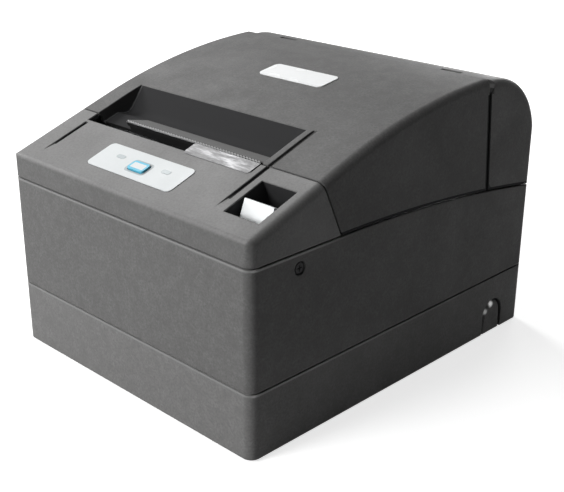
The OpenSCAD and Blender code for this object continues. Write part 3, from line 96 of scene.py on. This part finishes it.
# The slope's own directions: along it to the rear, and square out of it, from the platen's axis.
SLOPE = radians(19.5)
ORIGIN = Vector((0, -0.0505, 0.103545))
ALONG = Vector((0, cos(SLOPE), sin(SLOPE)))
OUT = Vector((0, -sin(SLOPE), cos(SLOPE)))


def on_slope(x, u, w):
    """The point that is x across, u along and w out of the slope."""
    return ORIGIN + (X * x + ALONG * u + OUT * w) * MM


def under_slope(w):
    """A limit for where(): less than w out of the slope."""
    return OUT, w + ORIGIN.dot(OUT) / MM


def before_slope(u):
    """A limit for where(): less than u along the slope."""
    return ALONG, u + ORIGIN.dot(ALONG) / MM


# ---------- shader nodes ----------

def set_in(shader, name, value):
    shader.inputs[name].default_value = value


def feed(tree, socket, value):
    """Links the socket to a node's output, or sets it to a number or a vector."""
    if isinstance(value, bpy.types.NodeSocket):
        tree.links.new(value, socket)
    elif value is not None:
        socket.default_value = value


def math_node(tree, operation, a, b):
    m = tree.nodes.new("ShaderNodeMath")
    m.operation = operation
    feed(tree, m.inputs[0], a)
    feed(tree, m.inputs[1], b)
    return m.outputs[0]


def vector_node(tree, operation, a, b=None, out="Vector"):
    v = tree.nodes.new("ShaderNodeVectorMath")
    v.operation = operation
    feed(tree, v.inputs[0], a)
    feed(tree, v.inputs[1], b)
    return v.outputs[out]


def map_range(tree, value, start, end, low=0.0, high=1.0, smooth=False):
    """Takes start to low and end to high, and stays there past them."""
    span = tree.nodes.new("ShaderNodeMapRange")
    if smooth:
        span.interpolation_type = "SMOOTHSTEP"
    for name, number in (("From Min", start), ("From Max", end), ("To Min", low), ("To Max", high)):
        set_in(span, name, number)
    tree.links.new(value, span.inputs["Value"])
    return span.outputs["Result"]


def object_coords(tree):
    return tree.nodes.new("ShaderNodeTexCoord").outputs["Object"]


def noise(tree, vector, scale, detail=3.0, rough=0.5):
    n = tree.nodes.new("ShaderNodeTexNoise")
    set_in(n, "Scale", scale)
    set_in(n, "Detail", detail)
    set_in(n, "Roughness", rough)
    tree.links.new(vector, n.inputs["Vector"])
    return n.outputs["Fac"]


def ramp(tree, fac, stops):
    """A colour ramp with a stop for each place and colour."""
    r = tree.nodes.new("ShaderNodeValToRGB")
    tree.links.new(fac, r.inputs["Fac"])
    els = r.color_ramp.elements
    while len(els) < len(stops):
        els.new(0.5)
    for e, (place, color) in zip(els, stops):
        e.position = place
        e.color = (*color, 1)
    return r.outputs["Color"]


def between(tree, fac, low, high):
    """Goes from one colour to the other over the middle of a noise's range."""
    return ramp(tree, fac, [(0.3, low), (0.7, high)])


def grey(level):
    return (level,) * 3


def bump(tree, bsdf, height, strength, distance):
    b = tree.nodes.new("ShaderNodeBump")
    set_in(b, "Strength", strength)
    set_in(b, "Distance", distance)
    tree.links.new(height, b.inputs["Height"])
    tree.links.new(b.outputs["Normal"], bsdf.inputs["Normal"])


# ---------- masks: 1 inside, 0 outside, with bounds in millimetres ----------

def where(tree, limits):
    """The points under every limit, each a direction and a bound along it."""
    at = object_coords(tree)
    inside = []
    for direction, bound in limits:
        reach = vector_node(tree, "DOT_PRODUCT", at, direction, "Value")
        inside.append(math_node(tree, "LESS_THAN", reach, bound * MM))
    return product(tree, *inside)


def product(tree, *masks):
    total = masks[0]
    for mask in masks[1:]:
        total = math_node(tree, "MULTIPLY", total, mask)
    return total


def fade(tree, direction, start, end):
    """Rises smoothly as the reach along the direction goes from start to end."""
    reach = vector_node(tree, "DOT_PRODUCT", object_coords(tree), direction, "Value")
    return map_range(tree, reach, start * MM, end * MM, smooth=True)


def patches(tree, scale):
    """Soft patches, scattered all over."""
    return map_range(tree, noise(tree, object_coords(tree), scale, 5, 0.65), 0.42, 0.62)


def from_parting(tree):
    """Distance in metres from the centre of the parting arc, seen from the side."""
    flat = vector_node(tree, "MULTIPLY", object_coords(tree), (0, 1, 1))
    return vector_node(tree, "DISTANCE", flat, PARTING, "Value")


def over_parting(tree, height):
    """The points less than this height over the parting arc."""
    return math_node(tree, "LESS_THAN", from_parting(tree), (PARTING_R + height) * MM)


def rounded_gap(tree, x, u, wide, deep, radius):
    """Distance in metres from a rounded rectangle on the slope, less than 0 inside it."""
    at = vector_node(tree, "SUBTRACT", object_coords(tree), ORIGIN)
    across = vector_node(tree, "DOT_PRODUCT", at, X, "Value")
    along = vector_node(tree, "DOT_PRODUCT", at, ALONG, "Value")
    flat = tree.nodes.new("ShaderNodeCombineXYZ")
    feed(tree, flat.inputs[0], math_node(tree, "SUBTRACT", across, x * MM))
    feed(tree, flat.inputs[1], math_node(tree, "SUBTRACT", along, u * MM))
    core = Vector((wide / 2 - radius, deep / 2 - radius, 0)) * MM
    past = vector_node(tree, "SUBTRACT", vector_node(tree, "ABSOLUTE", flat.outputs[0]), core)
    past = vector_node(tree, "MAXIMUM", past, (0, 0, 0))
    return math_node(tree, "SUBTRACT", vector_node(tree, "LENGTH", past, out="Value"), radius * MM)


def past_corner(tree, radius):
    """The points outside a rounded corner, where the rear seam's chamfer meets the arc's."""
    seam_reach = vector_node(tree, "DOT_PRODUCT", object_coords(tree), REAR_SEAM, "Value")
    up = math_node(tree, "SUBTRACT", from_parting(tree), (PARTING_R + CHAMFER_TOP) * MM)
    back = math_node(tree, "SUBTRACT", seam_reach, REAR_CHAMFER_END * MM)
    short = tree.nodes.new("ShaderNodeCombineXYZ")
    for socket, reach in zip(short.inputs, (up, back)):
        lack = math_node(tree, "SUBTRACT", radius * MM, reach)
        feed(tree, socket, math_node(tree, "MAXIMUM", lack, 0))
    gap = vector_node(tree, "LENGTH", short.outputs[0], out="Value")
    return math_node(tree, "GREATER_THAN", gap, radius * MM)


# ---------- changes to a material inside a mask ----------

def tint(mat, mask, color, strength=1.0):
    """Puts another colour over the material's own where the mask is 1."""
    tree = mat.node_tree
    base = tree.nodes["Principled BSDF"].inputs["Base Color"]
    own = base.links[0].from_socket
    mix = tree.nodes.new("ShaderNodeMix")
    mix.data_type = "RGBA"
    first, second = mix.inputs[6:8]
    tree.links.new(math_node(tree, "MULTIPLY", mask, strength), mix.inputs["Factor"])
    tree.links.new(own, first)
    second.default_value = (*color, 1)
    tree.links.new(mix.outputs[2], base)


def roughen(mat, mask, rough):
    """Raises the roughness to this value where the mask is 1."""
    tree = mat.node_tree
    socket = tree.nodes["Principled BSDF"].inputs["Roughness"]
    own = socket.links[0].from_socket
    part = math_node(tree, "MULTIPLY", mask, rough)
    tree.links.new(math_node(tree, "MAXIMUM", own, part), socket)


def round_edges(mat, radius):
    """Shades the piece's edges as if they were rounded by this radius."""
    tree = mat.node_tree
    edge = tree.nodes.new("ShaderNodeBevel")
    edge.samples = 6
    set_in(edge, "Radius", radius * MM)
    relief = next(n for n in tree.nodes if n.type == "BUMP")
    tree.links.new(edge.outputs["Normal"], relief.inputs["Normal"])


# ---------- kinds of finish ----------

def new_material(name, color, rough, metal=0.0, specular=0.5):
    mat = bpy.data.materials.new(name)
    mat.use_nodes = True
    tree = mat.node_tree
    bsdf = tree.nodes["Principled BSDF"]
    set_in(bsdf, "Base Color", (*color, 1))
    set_in(bsdf, "Roughness", rough)
    set_in(bsdf, "Metallic", metal)
    set_in(bsdf, "Specular IOR Level", specular)
    return mat, tree, bsdf


def shades(color, spread):
    return tuple(c * (1 - spread) for c in color), tuple(c * (1 + spread) for c in color)


def grained(name, color, rough, grain_scale, grain_depth, spread=0.06, specular=0.5):
    """Moulded plastic: spark-eroded grain, and colour and gloss that vary a little."""
    mat, tree, bsdf = new_material(name, color, rough, specular=specular)
    at = object_coords(tree)
    cloudy = noise(tree, at, grain_scale * 0.35, 4, 0.6)
    tree.links.new(between(tree, cloudy, *shades(color, spread)), bsdf.inputs["Base Color"])
    wide = noise(tree, at, 38, 3, 0.55)
    tree.links.new(between(tree, wide, grey(rough - 0.06), grey(rough + 0.06)), bsdf.inputs["Roughness"])
    bump(tree, bsdf, noise(tree, at, grain_scale, 3, 0.6), 0.5, grain_depth)
    return mat


def brushed(name, color, rough, stretch=(1, 1, 1), scale=900, depth=0.00001):
    """Metal with fine lines drawn out along one axis."""
    mat, tree, bsdf = new_material(name, color, rough, metal=1.0)
    mapping = tree.nodes.new("ShaderNodeMapping")
    set_in(mapping, "Scale", stretch)
    tree.links.new(object_coords(tree), mapping.inputs["Vector"])
    lines = noise(tree, mapping.outputs["Vector"], scale, 4, 0.65)
    tree.links.new(between(tree, lines, *shades(color, 0.12)), bsdf.inputs["Base Color"])
    tree.links.new(between(tree, lines, grey(rough - 0.08), grey(rough + 0.1)), bsdf.inputs["Roughness"])
    bump(tree, bsdf, lines, 0.3, depth)
    return mat


def streaked(name):
    """Bright sheet steel with long light and dark streaks in its colour: streaks in the steel, and
    painted reflections.
    """
    mat, tree, bsdf = new_material(name, grey(0.5), 0.5, metal=0.35)
    mapping = tree.nodes.new("ShaderNodeMapping")
    set_in(mapping, "Rotation", (0, 0, radians(14)))
    set_in(mapping, "Scale", (0.30, 1.3, 1.3))
    tree.links.new(object_coords(tree), mapping.inputs["Vector"])
    streaks = noise(tree, mapping.outputs["Vector"], 210, 4, 0.6)
    dark, middle, light = (0.07, 0.07, 0.072), (0.15, 0.15, 0.153), (0.40, 0.40, 0.41)
    tree.links.new(ramp(tree, streaks, [(0.36, dark), (0.52, middle), (0.66, light)]),
                   bsdf.inputs["Base Color"])
    fine = noise(tree, mapping.outputs["Vector"], 1400, 3, 0.6)
    tree.links.new(between(tree, fine, grey(0.42), grey(0.6)), bsdf.inputs["Roughness"])
    bump(tree, bsdf, fine, 0.3, 0.00002)
    return mat


def case_plastic(name, shade=1.0, specular=0.1):
    """The charcoal plastic of the case, with faint darker patches, its colour scaled by shade for each
    piece as painted light and shade.
    """
    color = tuple(c * shade for c in (0.136, 0.135, 0.1339))
    patch = tuple(c * shade for c in (0.1125, 0.1116, 0.1101))
    mat = grained(name, color, 0.55, 2700, 0.00014, 0.2, specular)
    tint(mat, patches(mat.node_tree, 150), patch, 0.55)
    return mat


# ---------- the shells of the case ----------

# Colours of painted shade: deep shade, and the shade in hollows.
SHADE = (0.012, 0.012, 0.0125)
HOLLOW_SHADE = grey(0.02)
EDGE_RADIUS = 0.9


def paint_seam_shade(mat, beside):
    """Painted shade in the chamfers along the parting arc and along the lid's rear edge."""
    tree = mat.node_tree
    shade = math_node(tree, "MAXIMUM", over_parting(tree, CHAMFER_TOP), where(tree, beside))
    tint(mat, shade, SHADE)
    roughen(mat, shade, 0.85)


def paint_lip_highlight(mat, seam, span):
    """A painted highlight on the upper edge of a piece, under the seam at this height.

    On the right it is brighter, and comes in over a span of distances before the middle of the case.
    """
    tree = mat.node_tree
    band = product(tree, fade(tree, Z, seam - 1.9, seam - 0.9), where(tree, [(Z, seam + 0.1)]))
    right = fade(tree, X, HALF_WIDTH - 1.9, HALF_WIDTH - 0.3)
    not_right = math_node(tree, "SUBTRACT", 1, right)
    at_front = fade(tree, -Y, HALF_DEPTH - 3.5, HALF_DEPTH - 1)
    tint(mat, product(tree, band, not_right, at_front), (0.235, 0.234, 0.232))
    tint(mat, product(tree, band, right, fade(tree, -Y, *span)), (0.50, 0.50, 0.495))


def mid_case_look():
    """The middle shell, with a painted highlight on its lip and painted shade on its rim under the lid,
    from the lip to the rear.
    """
    mat = case_plastic("case_grain")
    rim_end, lip_full = 35, 70
    paint_lip_highlight(mat, FRONT_SEAM, (rim_end, lip_full))
    tree = mat.node_tree
    rim = math_node(tree, "SUBTRACT", 1, over_parting(tree, -0.3))
    tint(mat, product(tree, rim, where(tree, [(-Y, rim_end)])), HOLLOW_SHADE)
    return mat


def lower_case_look():
    """The lower shell, made lighter all over as painted light, with a painted highlight on its lip that
    runs along nearly all of its right side.
    """
    mat = case_plastic("case_grain_base", 1.27)
    paint_lip_highlight(mat, BASE_SEAM, (-95, 40))
    return mat


def rear_cover_look():
    """The rear cover, a little darker all over as painted shade, with painted shade in its chamfers, in
    the corner where they meet and in the wide gap.
    """
    mat = case_plastic("case_grain_rear", 0.95)
    tree = mat.node_tree
    chamfer_top, gap_end, corner = 145, REAR_BOUND + 4.2, 3.2
    paint_seam_shade(mat, [(REAR_SEAM, REAR_CHAMFER_END), (Z, chamfer_top)])
    tint(mat, where(tree, [(REAR_SEAM, gap_end), (-Z, -WIDE_GAP)]), HOLLOW_SHADE)
    tint(mat, past_corner(tree, corner), SHADE)
    return mat


def front_cover_look():
    """The front cover, darker all over as painted shade: painted light makes its slope paler, and
    painted shade makes it dark inside the paper slot and the latch pocket.
    """
    mat = case_plastic("case_grain_front", 0.79, 0.25)
    tree = mat.node_tree
    # Distances out of the slope: where its face with painted light comes in, and the top of the painted
    # shade inside.
    face_start, face_full, inside_top = 19.3, 20.6, 20.4
    _, level = under_slope(0)
    face = fade(tree, OUT, level + face_start, level + face_full)
    specks = math_node(tree, "MULTIPLY", noise(tree, object_coords(tree), 900, 4, 0.6), 1.55)
    tint(mat, product(tree, face, specks), (0.170, 0.1688, 0.1674))
    walls = [(-Y, HALF_DEPTH - WALL), (X, HALF_WIDTH - WALL), (-X, HALF_WIDTH - WALL)]
    inner = where(tree, [under_slope(inside_top)] + walls)
    tint(mat, inner, (0.02, 0.02, 0.021))
    roughen(mat, inner, 0.9)
    return mat


def lid_look():
    """The lid, darker all over as painted shade, with painted shade in its recess, which is also rough,
    apart from the lip over the paper slot, which has a painted highlight.
    """
    mat = case_plastic("case_grain_lid", 0.9)
    tree = mat.node_tree
    # The recess lies under the slope, between its left and right walls and before its rear wall.
    top, rear_wall, right_wall, left_wall = 20.35, -31.8, 50.9, -73.4
    scoop = where(tree, [under_slope(top), (Y, rear_wall), (X, right_wall), (-X, -left_wall)])
    # The lip is a narrow face tilted to the rear, 18.8 out of the slope straight over the platen.
    lean, out, half_lip, lip_left, lip_rear = 0.627, 18.8, 0.35, -50.5, 8.4
    tilt = (OUT + lean * ALONG).normalized()
    lip = ORIGIN.dot(tilt) / MM + out / sqrt(1 + lean ** 2)
    sides = [(tilt, lip + half_lip), (-tilt, half_lip - lip), (-X, -lip_left), before_slope(lip_rear)]
    strip = product(tree, scoop, where(tree, sides))
    recess = math_node(tree, "SUBTRACT", scoop, strip)
    slot_face_end, left_face_end = -3.2, -71.8
    slot_face = product(tree, recess, where(tree, [before_slope(slot_face_end)]))
    left_face = product(tree, recess, where(tree, [(X, left_face_end)]))
    # Painted shade in the recess, darkest on the face over the paper slot and lighter on the left face;
    # a painted highlight on the lip's strip.
    tint(mat, recess, (0.031, 0.031, 0.032))
    tint(mat, slot_face, grey(0.006))
    tint(mat, left_face, (0.085, 0.085, 0.087))
    tint(mat, strip, (0.19, 0.19, 0.188))
    roughen(mat, recess, 0.95)
    chamfer_start = REAR_BOUND - 0.9
    paint_seam_shade(mat, [(-REAR_SEAM, -chamfer_start), (Z, WIDE_GAP)])
    return mat


# ---------- pieces with a finish of their own ----------

# Middle of the button on the slope, across and along it. Then the printed ground round it and the
# button's own outline: width, depth and corner radius.
BUTTON_AT = (-6.2, -32.5)
GROUND = (15, 9.4, 2.4)
BUTTON = (11.6, 6.4, 1.5)
PRINTED_LINE = 1.3


def label_look():
    """The white panel, with the grey ground that is printed round the button."""
    mat = grained("label_satin", (0.62, 0.645, 0.65), 0.5, 1400, 0.00002, 0.012, 0.3)
    tree = mat.node_tree
    ground = math_node(tree, "LESS_THAN", rounded_gap(tree, *BUTTON_AT, *GROUND), 0)
    tint(mat, ground, (0.38, 0.41, 0.42))
    return mat


def button_look():
    """The button's white top inside its printed cyan line."""
    mat = grained("button_satin", (0.64, 0.665, 0.67), 0.45, 1400, 0.00002, 0.012, 0.3)
    tree = mat.node_tree
    line = math_node(tree, "GREATER_THAN", rounded_gap(tree, *BUTTON_AT, *BUTTON), -PRINTED_LINE * MM)
    tint(mat, line, (0.10, 0.46, 0.63))
    return mat


def tear_bar_look():
    """The tear bar's edge is bright, and its face is dulled: rougher, and with painted shade."""
    mat = brushed("steel_tear", grey(0.42), 0.5, (0.03, 1, 1), 900)
    face = where(mat.node_tree, [under_slope(20.1)])
    tint(mat, face, HOLLOW_SHADE)
    roughen(mat, face, 0.9)
    return mat


def arch_cap_look():
    """The cable arch's cap, lighter all over as painted light, with two painted highlights on its
    rounded shoulder, where it is also part metal.
    """
    mat = case_plastic("case_grain_cap", 1.15)
    tree = mat.node_tree
    flat = vector_node(tree, "MULTIPLY", object_coords(tree), (0, 1, 1))
    # Place of each painted highlight in metres, its radius in millimetres, and its colour.
    spots = [((0, 0.0778, 0.0176), 2.6, grey(0.95)), ((0, 0.0731, 0.0142), 2.2, grey(0.5))]
    full_share, metal = 0.4, 0.45
    shine = []
    for spot, radius, color in spots:
        reach = vector_node(tree, "DISTANCE", flat, spot, "Value")
        near = map_range(tree, reach, radius * MM, radius * full_share * MM)
        tint(mat, near, color)
        shine.append(math_node(tree, "MULTIPLY", near, metal))
    highlight_metal = math_node(tree, "MAXIMUM", *shine)
    tree.links.new(highlight_metal, tree.nodes["Principled BSDF"].inputs["Metallic"])
    return mat


# ---------- a finish for every node ----------

case = mid_case_look()
lower = lower_case_look()
rear = rear_cover_look()
front = front_cover_look()
lid = lid_look()
for shell in (case, lower, rear, front, lid):
    round_edges(shell, EDGE_RADIUS)

# Name, colour, roughness, grains to the metre, depth of the grain in metres, spread of the colour,
# specular level.
plastics = {
    "white_plastic": ("white_gloss", (0.93, 0.955, 0.96), 0.38, 700, 0.00001, 0.012),
    "lens": ("lens_clear", (0.40, 0.445, 0.455), 0.42, 900, 0.00001, 0.02, 0.3),
    "foot_rubber": ("rubber_black", (0.025, 0.025, 0.026), 0.7, 1500, 0.00006, 0.1, 0.3),
    "platen_rubber": ("rubber_platen", (0.035, 0.035, 0.037), 0.55, 2600, 0.00003, 0.08, 0.35),
    "black_plastic": ("black_moulded", (0.018, 0.018, 0.019), 0.5, 1600, 0.00005, 0.08, 0.35),
    "gear_plastic": ("gear_acetal", (0.72, 0.68, 0.56), 0.35, 800, 0.00002, 0.03),
    "screw_steel": ("screw_black", (0.012, 0.012, 0.0125), 0.5, 1200, 0.00003, 0.1, 0.12),
    "motor_can": ("motor_can", (0.09, 0.095, 0.105), 0.35, 900, 0.00002, 0.05),
    "ceramic": ("ceramic_glaze", (0.62, 0.58, 0.5), 0.18, 500, 0.00001, 0.03),
    "board": ("board_green", (0.015, 0.13, 0.06), 0.35, 2200, 0.00003, 0.2),
}

# Name, colour, roughness, stretch of the brushed lines, lines to the metre, their depth in metres.
metals = {
    "bronze": ("bronze_sintered", (0.42, 0.29, 0.15), 0.5, (1, 1, 1), 1800, 0.00003),
    "sheet_steel": ("steel_zinc", (0.52, 0.53, 0.55), 0.36, (0.06, 1, 1), 700),
    "bright_steel": ("steel_bright", (0.72, 0.73, 0.75), 0.2, (0.03, 1, 1), 900),
    "heat_sink": ("aluminium_extruded", (0.62, 0.63, 0.65), 0.4, (0.04, 1, 1), 600),
}

looks = {"case": case, "label": label_look()}
looks.update({slot: grained(*finish) for slot, finish in plastics.items()})
looks.update({slot: brushed(*finish) for slot, finish in metals.items()})
own_looks = {
    "badge_plate": grained("badge_gloss", (0.95, 0.965, 0.97), 0.27, 700, 0.00001, 0.012),
    "lower_case": lower, "rear_cover": rear, "front_cover": front, "lid": lid,
    "tear_bar": tear_bar_look(), "feed_button": button_look(),
}
for part in frame["record"]["subparts"]:
    obj = nodes[part["node"]]
    mat = own_looks.get(part["node"], looks[part["material_slot"]])
    if not obj.data.materials:
        obj.data.materials.append(mat)
    for s in obj.material_slots:
        s.material = mat


# ---------- pieces made here ----------

def skin(bm, loops):
    """Joins closed loops of points, each to the next, and closes both ends."""
    for one, two in zip(loops, loops[1:]):
        for k in range(len(one)):
            m = (k + 1) % len(one)
            bm.faces.new((one[k], one[m], two[m], two[k]))
    bm.faces.new(loops[0][::-1])
    bm.faces.new(loops[-1])


def finished(bm, name, mat):
    """The object with this mesh and material, linked to the scene."""
    bmesh.ops.recalc_face_normals(bm, faces=bm.faces)
    mesh = bpy.data.meshes.new(name)
    bm.to_mesh(mesh)
    bm.free()
    mesh.materials.append(mat)
    obj = bpy.data.objects.new(name, mesh)
    scene.collection.objects.link(obj)
    return obj


def slot_plate():
    """The crowned steel plate over the closed end of the paper slot, and the fold that holds it there.

    Sizes are in millimetres, across, along and out of the slope.
    """
    left, right, near_edge, far_edge = 5.1, 49.9, -13.7, -5.2
    top, thick, crown, corner = 21.22, 0.34, 0.12, 1.6
    columns, rows = 60, 10
    middle = (near_edge + far_edge) / 2
    half = (far_edge - near_edge) / 2
    bm = bmesh.new()
    grid = []
    for i in range(columns + 1):
        x = left + (right - left) * i / columns
        inset = min(x - left, right - x)
        cut = corner - sqrt(max(0, corner ** 2 - (corner - inset) ** 2)) if inset < corner else 0
        line = []
        for j in range(rows + 1):
            u = near_edge + cut + (far_edge - near_edge - cut) * j / rows
            rise = crown * (1 - ((u - middle) / half) ** 2)
            line.append(bm.verts.new(on_slope(x, u, top + rise)))
        grid.append(line)
    under = [[bm.verts.new(v.co - OUT * thick * MM) for v in (line[0], line[-1])] for line in grid]
    for i in range(columns):
        for j in range(rows):
            bm.faces.new((grid[i][j], grid[i + 1][j], grid[i + 1][j + 1], grid[i][j + 1]))
        bm.faces.new((under[i][0], under[i + 1][0], grid[i + 1][0], grid[i][0]))
        bm.faces.new((grid[i][-1], grid[i + 1][-1], under[i + 1][1], under[i][1]))
        bm.faces.new((under[i][1], under[i + 1][1], under[i + 1][0], under[i][0]))
    for i in (0, columns):
        rim = grid[i] + [under[i][1], under[i][0]]
        bm.faces.new(rim if i == 0 else rim[::-1])
    fold = [(-11.9, 20.45), (-5.6, 20.45), (-5.6, 21.15), (-11.9, 21.15)]
    skin(bm, [[bm.verts.new(on_slope(x, u, w)) for u, w in fold] for x in (left + 0.1, right - 0.5)])
    obj = finished(bm, "slot_plate", streaked("steel_streaked"))
    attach(obj, "base")
    return obj


def arch_cap():
    """The cap of the cable arch: a plate behind the wall, and a cushioned arch in the opening.

    Sizes are in metres.
    """
    y, spring, radius = 0.079, 0.0114, 0.0083
    inner, outer, proud, cushion = 0.0845, 0.0862, 0.0021, 0.0030
    foot_share, arc_steps, cushion_steps = 0.35, 24, 7
    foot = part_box("cable_exit_cap")[0][2]

    def outline(inset):
        r = radius - inset
        angles = [pi * k / arc_steps for k in range(arc_steps + 1)]
        arc = [(y + r * cos(a), spring + r * sin(a)) for a in angles]
        wide = radius - inset * foot_share
        return [(y + wide, foot)] + arc + [(y - wide, foot)]

    rings = [(inner, 0.0), (outer, 0.0)]
    for k in range(1, cushion_steps + 1):
        turn = pi / 2 * k / cushion_steps
        rings.append((outer + proud * sin(turn), cushion * (1 - cos(turn))))
    bm = bmesh.new()
    skin(bm, [[bm.verts.new((x, a, b)) for a, b in outline(inset)] for x, inset in rings])
    obj = finished(bm, "arch_cap", arch_cap_look())
    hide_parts("cable_exit_cap")
    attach(obj, "base")
    return obj


def bay_cover():
    """The ribbed cover over the cable bay, behind the roll bucket. Sizes are in metres."""
    half, top, under, rib_low, half_rib = 0.074, 0.0342, 0.0328, 0.0309, 0.0006
    near_edge, far_edge = 0.0672, 0.1036
    ribs = 7
    outline = [(-half, top), (half, top)]
    for k in range(ribs):
        c = (half - half_rib) * (1 - 2 * k / (ribs - 1))
        outline += [(c + half_rib, under), (c + half_rib, rib_low)]
        outline += [(c - half_rib, rib_low), (c - half_rib, under)]
    bm = bmesh.new()
    skin(bm, [[bm.verts.new((x, y, z)) for x, z in outline] for y in (near_edge, far_edge)])
    obj = finished(bm, "bay_cover", looks["black_plastic"])
    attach(obj, "base")
    return obj


# ---------- edges of the moulded and cut pieces ----------

# Width of the bevel on each piece that has one, in millimetres.
soft_edges = {"lower_case": 0.5, "mid_case": 0.5, "front_cover": 0.3, "lid": 0.5, "rear_cover": 0.5,
              "label_plate": 0.15, "feed_button": 0.3, "badge_plate": 0.25, "latch_lever": 0.4}


def sharp_group(limit_deg):
    """Geometry nodes that shade smooth and keep edges above the limit sharp."""
    g = bpy.data.node_groups.new("sharp_edges", "GeometryNodeTree")
    for way in ("INPUT", "OUTPUT"):
        g.interface.new_socket("Geometry", in_out=way, socket_type="NodeSocketGeometry")
    start = g.nodes.new("NodeGroupInput")
    end = g.nodes.new("NodeGroupOutput")
    faces = g.nodes.new("GeometryNodeSetShadeSmooth")
    faces.domain = "FACE"
    edges = g.nodes.new("GeometryNodeSetShadeSmooth")
    edges.domain = "EDGE"
    set_in(edges, "Shade Smooth", False)
    angle = g.nodes.new("GeometryNodeInputMeshEdgeAngle")
    over = g.nodes.new("FunctionNodeCompare")
    over.data_type = "FLOAT"
    over.operation = "GREATER_THAN"
    set_in(over, "B", radians(limit_deg))
    g.links.new(angle.outputs["Unsigned Angle"], over.inputs["A"])
    g.links.new(start.outputs[0], faces.inputs["Geometry"])
    g.links.new(faces.outputs[0], edges.inputs["Geometry"])
    g.links.new(over.outputs["Result"], edges.inputs["Selection"])
    g.links.new(edges.outputs[0], end.inputs[0])
    return g


sharp_edges = sharp_group(28)


def ease(obj, width):
    """Joins the faces of a piece, softens its edges and evens out its shading."""
    if "custom_normal" in obj.data.attributes:
        obj.data.attributes.remove(obj.data.attributes["custom_normal"])
    weld = obj.modifiers.new("weld", "WELD")
    weld.merge_threshold = 0.002 * MM
    split = obj.modifiers.new("sharp", "NODES")
    split.node_group = sharp_edges
    if width:
        bevel = obj.modifiers.new("bevel", "BEVEL")
        bevel.width = width * MM
        bevel.segments = 2
        bevel.limit_method = "ANGLE"
        bevel.angle_limit = radians(40)
        bevel.harden_normals = False
        bevel.use_clamp_overlap = True
    even = obj.modifiers.new("even", "WEIGHTED_NORMAL")
    even.mode = "FACE_AREA"
    even.weight = 80
    even.keep_sharp = True


# ---------- camera and lamps ----------

def photo_camera():
    """The camera at the photograph's place: its right, down and forward directions, and its lens."""
    right = Vector((0.71205379, 0.70210783, 0.00489869))
    down = Vector((0.26920197, -0.2665584, -0.92546038))
    ahead = Vector((-0.6484672, 0.66029631, -0.37881272))
    place = Vector((0.378102, -0.382559, 0.269157))
    data = bpy.data.cameras.new("camera")
    data.sensor_width = 36
    data.lens = 67.677
    data.clip_start = 0.01
    obj = bpy.data.objects.new("camera", data)
    turn = Matrix((right, -down, -ahead)).transposed()
    obj.matrix_world = Matrix.Translation(place) @ turn.to_4x4()
    scene.collection.objects.link(obj)
    return obj


def area_light(name, at, size, watts):
    """A round lamp that faces the middle of the object."""
    data = bpy.data.lights.new(name, "AREA")
    data.shape = "DISK"
    data.size = size
    data.energy = watts
    obj = bpy.data.objects.new(name, data)
    obj.location = at
    towards = Vector((0, -0.02, 0.08)) - Vector(at)
    obj.rotation_euler = towards.to_track_quat("-Z", "Y").to_euler()
    scene.collection.objects.link(obj)


# Name, place and diameter in metres, and power in watts.
lamps = [
    ("front", (-0.16, -0.92, 0.46), 0.4, 7.7),
    ("left", (-1.0, -0.3, 0.6), 0.4, 6.7),
    ("top", (0.0, -0.1, 1.15), 0.4, 0.6),
    ("back", (-0.45, 1.2, 0.35), 0.6, 5.0),
    ("sheen", (-1.05, 0.45, 1.15), 0.4, 8.5),
]
scene.camera = photo_camera()
for lamp in lamps:
    area_light(*lamp)


# ---------- white world and floor ----------

def seen_rays(tree):
    """1 for the camera's rays, and for the rays that show the background in metal, gloss and glass."""
    path = tree.nodes.new("ShaderNodeLightPath")
    seen = math_node(tree, "MAXIMUM", path.outputs["Is Camera Ray"], path.outputs["Is Glossy Ray"])
    return math_node(tree, "MAXIMUM", seen, path.outputs["Is Transmission Ray"])


def mixed(tree, dull, white):
    """The white shader for the seen rays, and the dull one for all others."""
    mix = tree.nodes.new("ShaderNodeMixShader")
    tree.links.new(seen_rays(tree), mix.inputs["Fac"])
    tree.links.new(dull, mix.inputs[1])
    tree.links.new(white, mix.inputs[2])
    return mix.outputs[0]


def background(tree, strength):
    back = tree.nodes.new("ShaderNodeBackground")
    set_in(back, "Color", (1, 1, 1, 1))
    set_in(back, "Strength", strength)
    return back.outputs[0]


def white_world():
    """A world that looks white and gives little light."""
    world = bpy.data.worlds.new("world")
    scene.world = world
    world.use_nodes = True
    tree = world.node_tree
    tree.nodes.clear()
    out = tree.nodes.new("ShaderNodeOutputWorld")
    dull, white = background(tree, 0.022), background(tree, 1.0)
    tree.links.new(mixed(tree, dull, white), out.inputs["Surface"])


def floor_look():
    """A floor that looks white and keeps the object's shadow."""
    mat, tree, bsdf = new_material("floor_white", grey(0.48), 0.9, specular=0.0)
    lit = tree.nodes.new("ShaderNodeBsdfDiffuse")
    set_in(lit, "Color", (*grey(0.75), 1))
    # Far from the lamps the floor's own white takes over from their light.
    lift = tree.nodes.new("ShaderNodeEmission")
    away = vector_node(tree, "LENGTH", object_coords(tree), out="Value")
    near, far, near_glow, far_glow = 0.5, 2.2, 0.74, 1.0
    tree.links.new(map_range(tree, away, near, far, near_glow, far_glow), lift.inputs["Strength"])
    total = tree.nodes.new("ShaderNodeAddShader")
    tree.links.new(lit.outputs[0], total.inputs[0])
    tree.links.new(lift.outputs[0], total.inputs[1])
    surface = tree.nodes["Material Output"].inputs["Surface"]
    tree.links.new(mixed(tree, bsdf.outputs[0], total.outputs[0]), surface)
    return mat


white_world()
bpy.ops.mesh.primitive_plane_add(size=12, location=(0, 0, -0.2 * MM))
floor = bpy.context.object
floor.name = "floor"
floor.data.materials.append(floor_look())

ease(slot_plate(), 0)
ease(arch_cap(), 0)
ease(bay_cover(), 0.2)
for name, obj in nodes.items():
    ease(obj, soft_edges.get(name, 0))
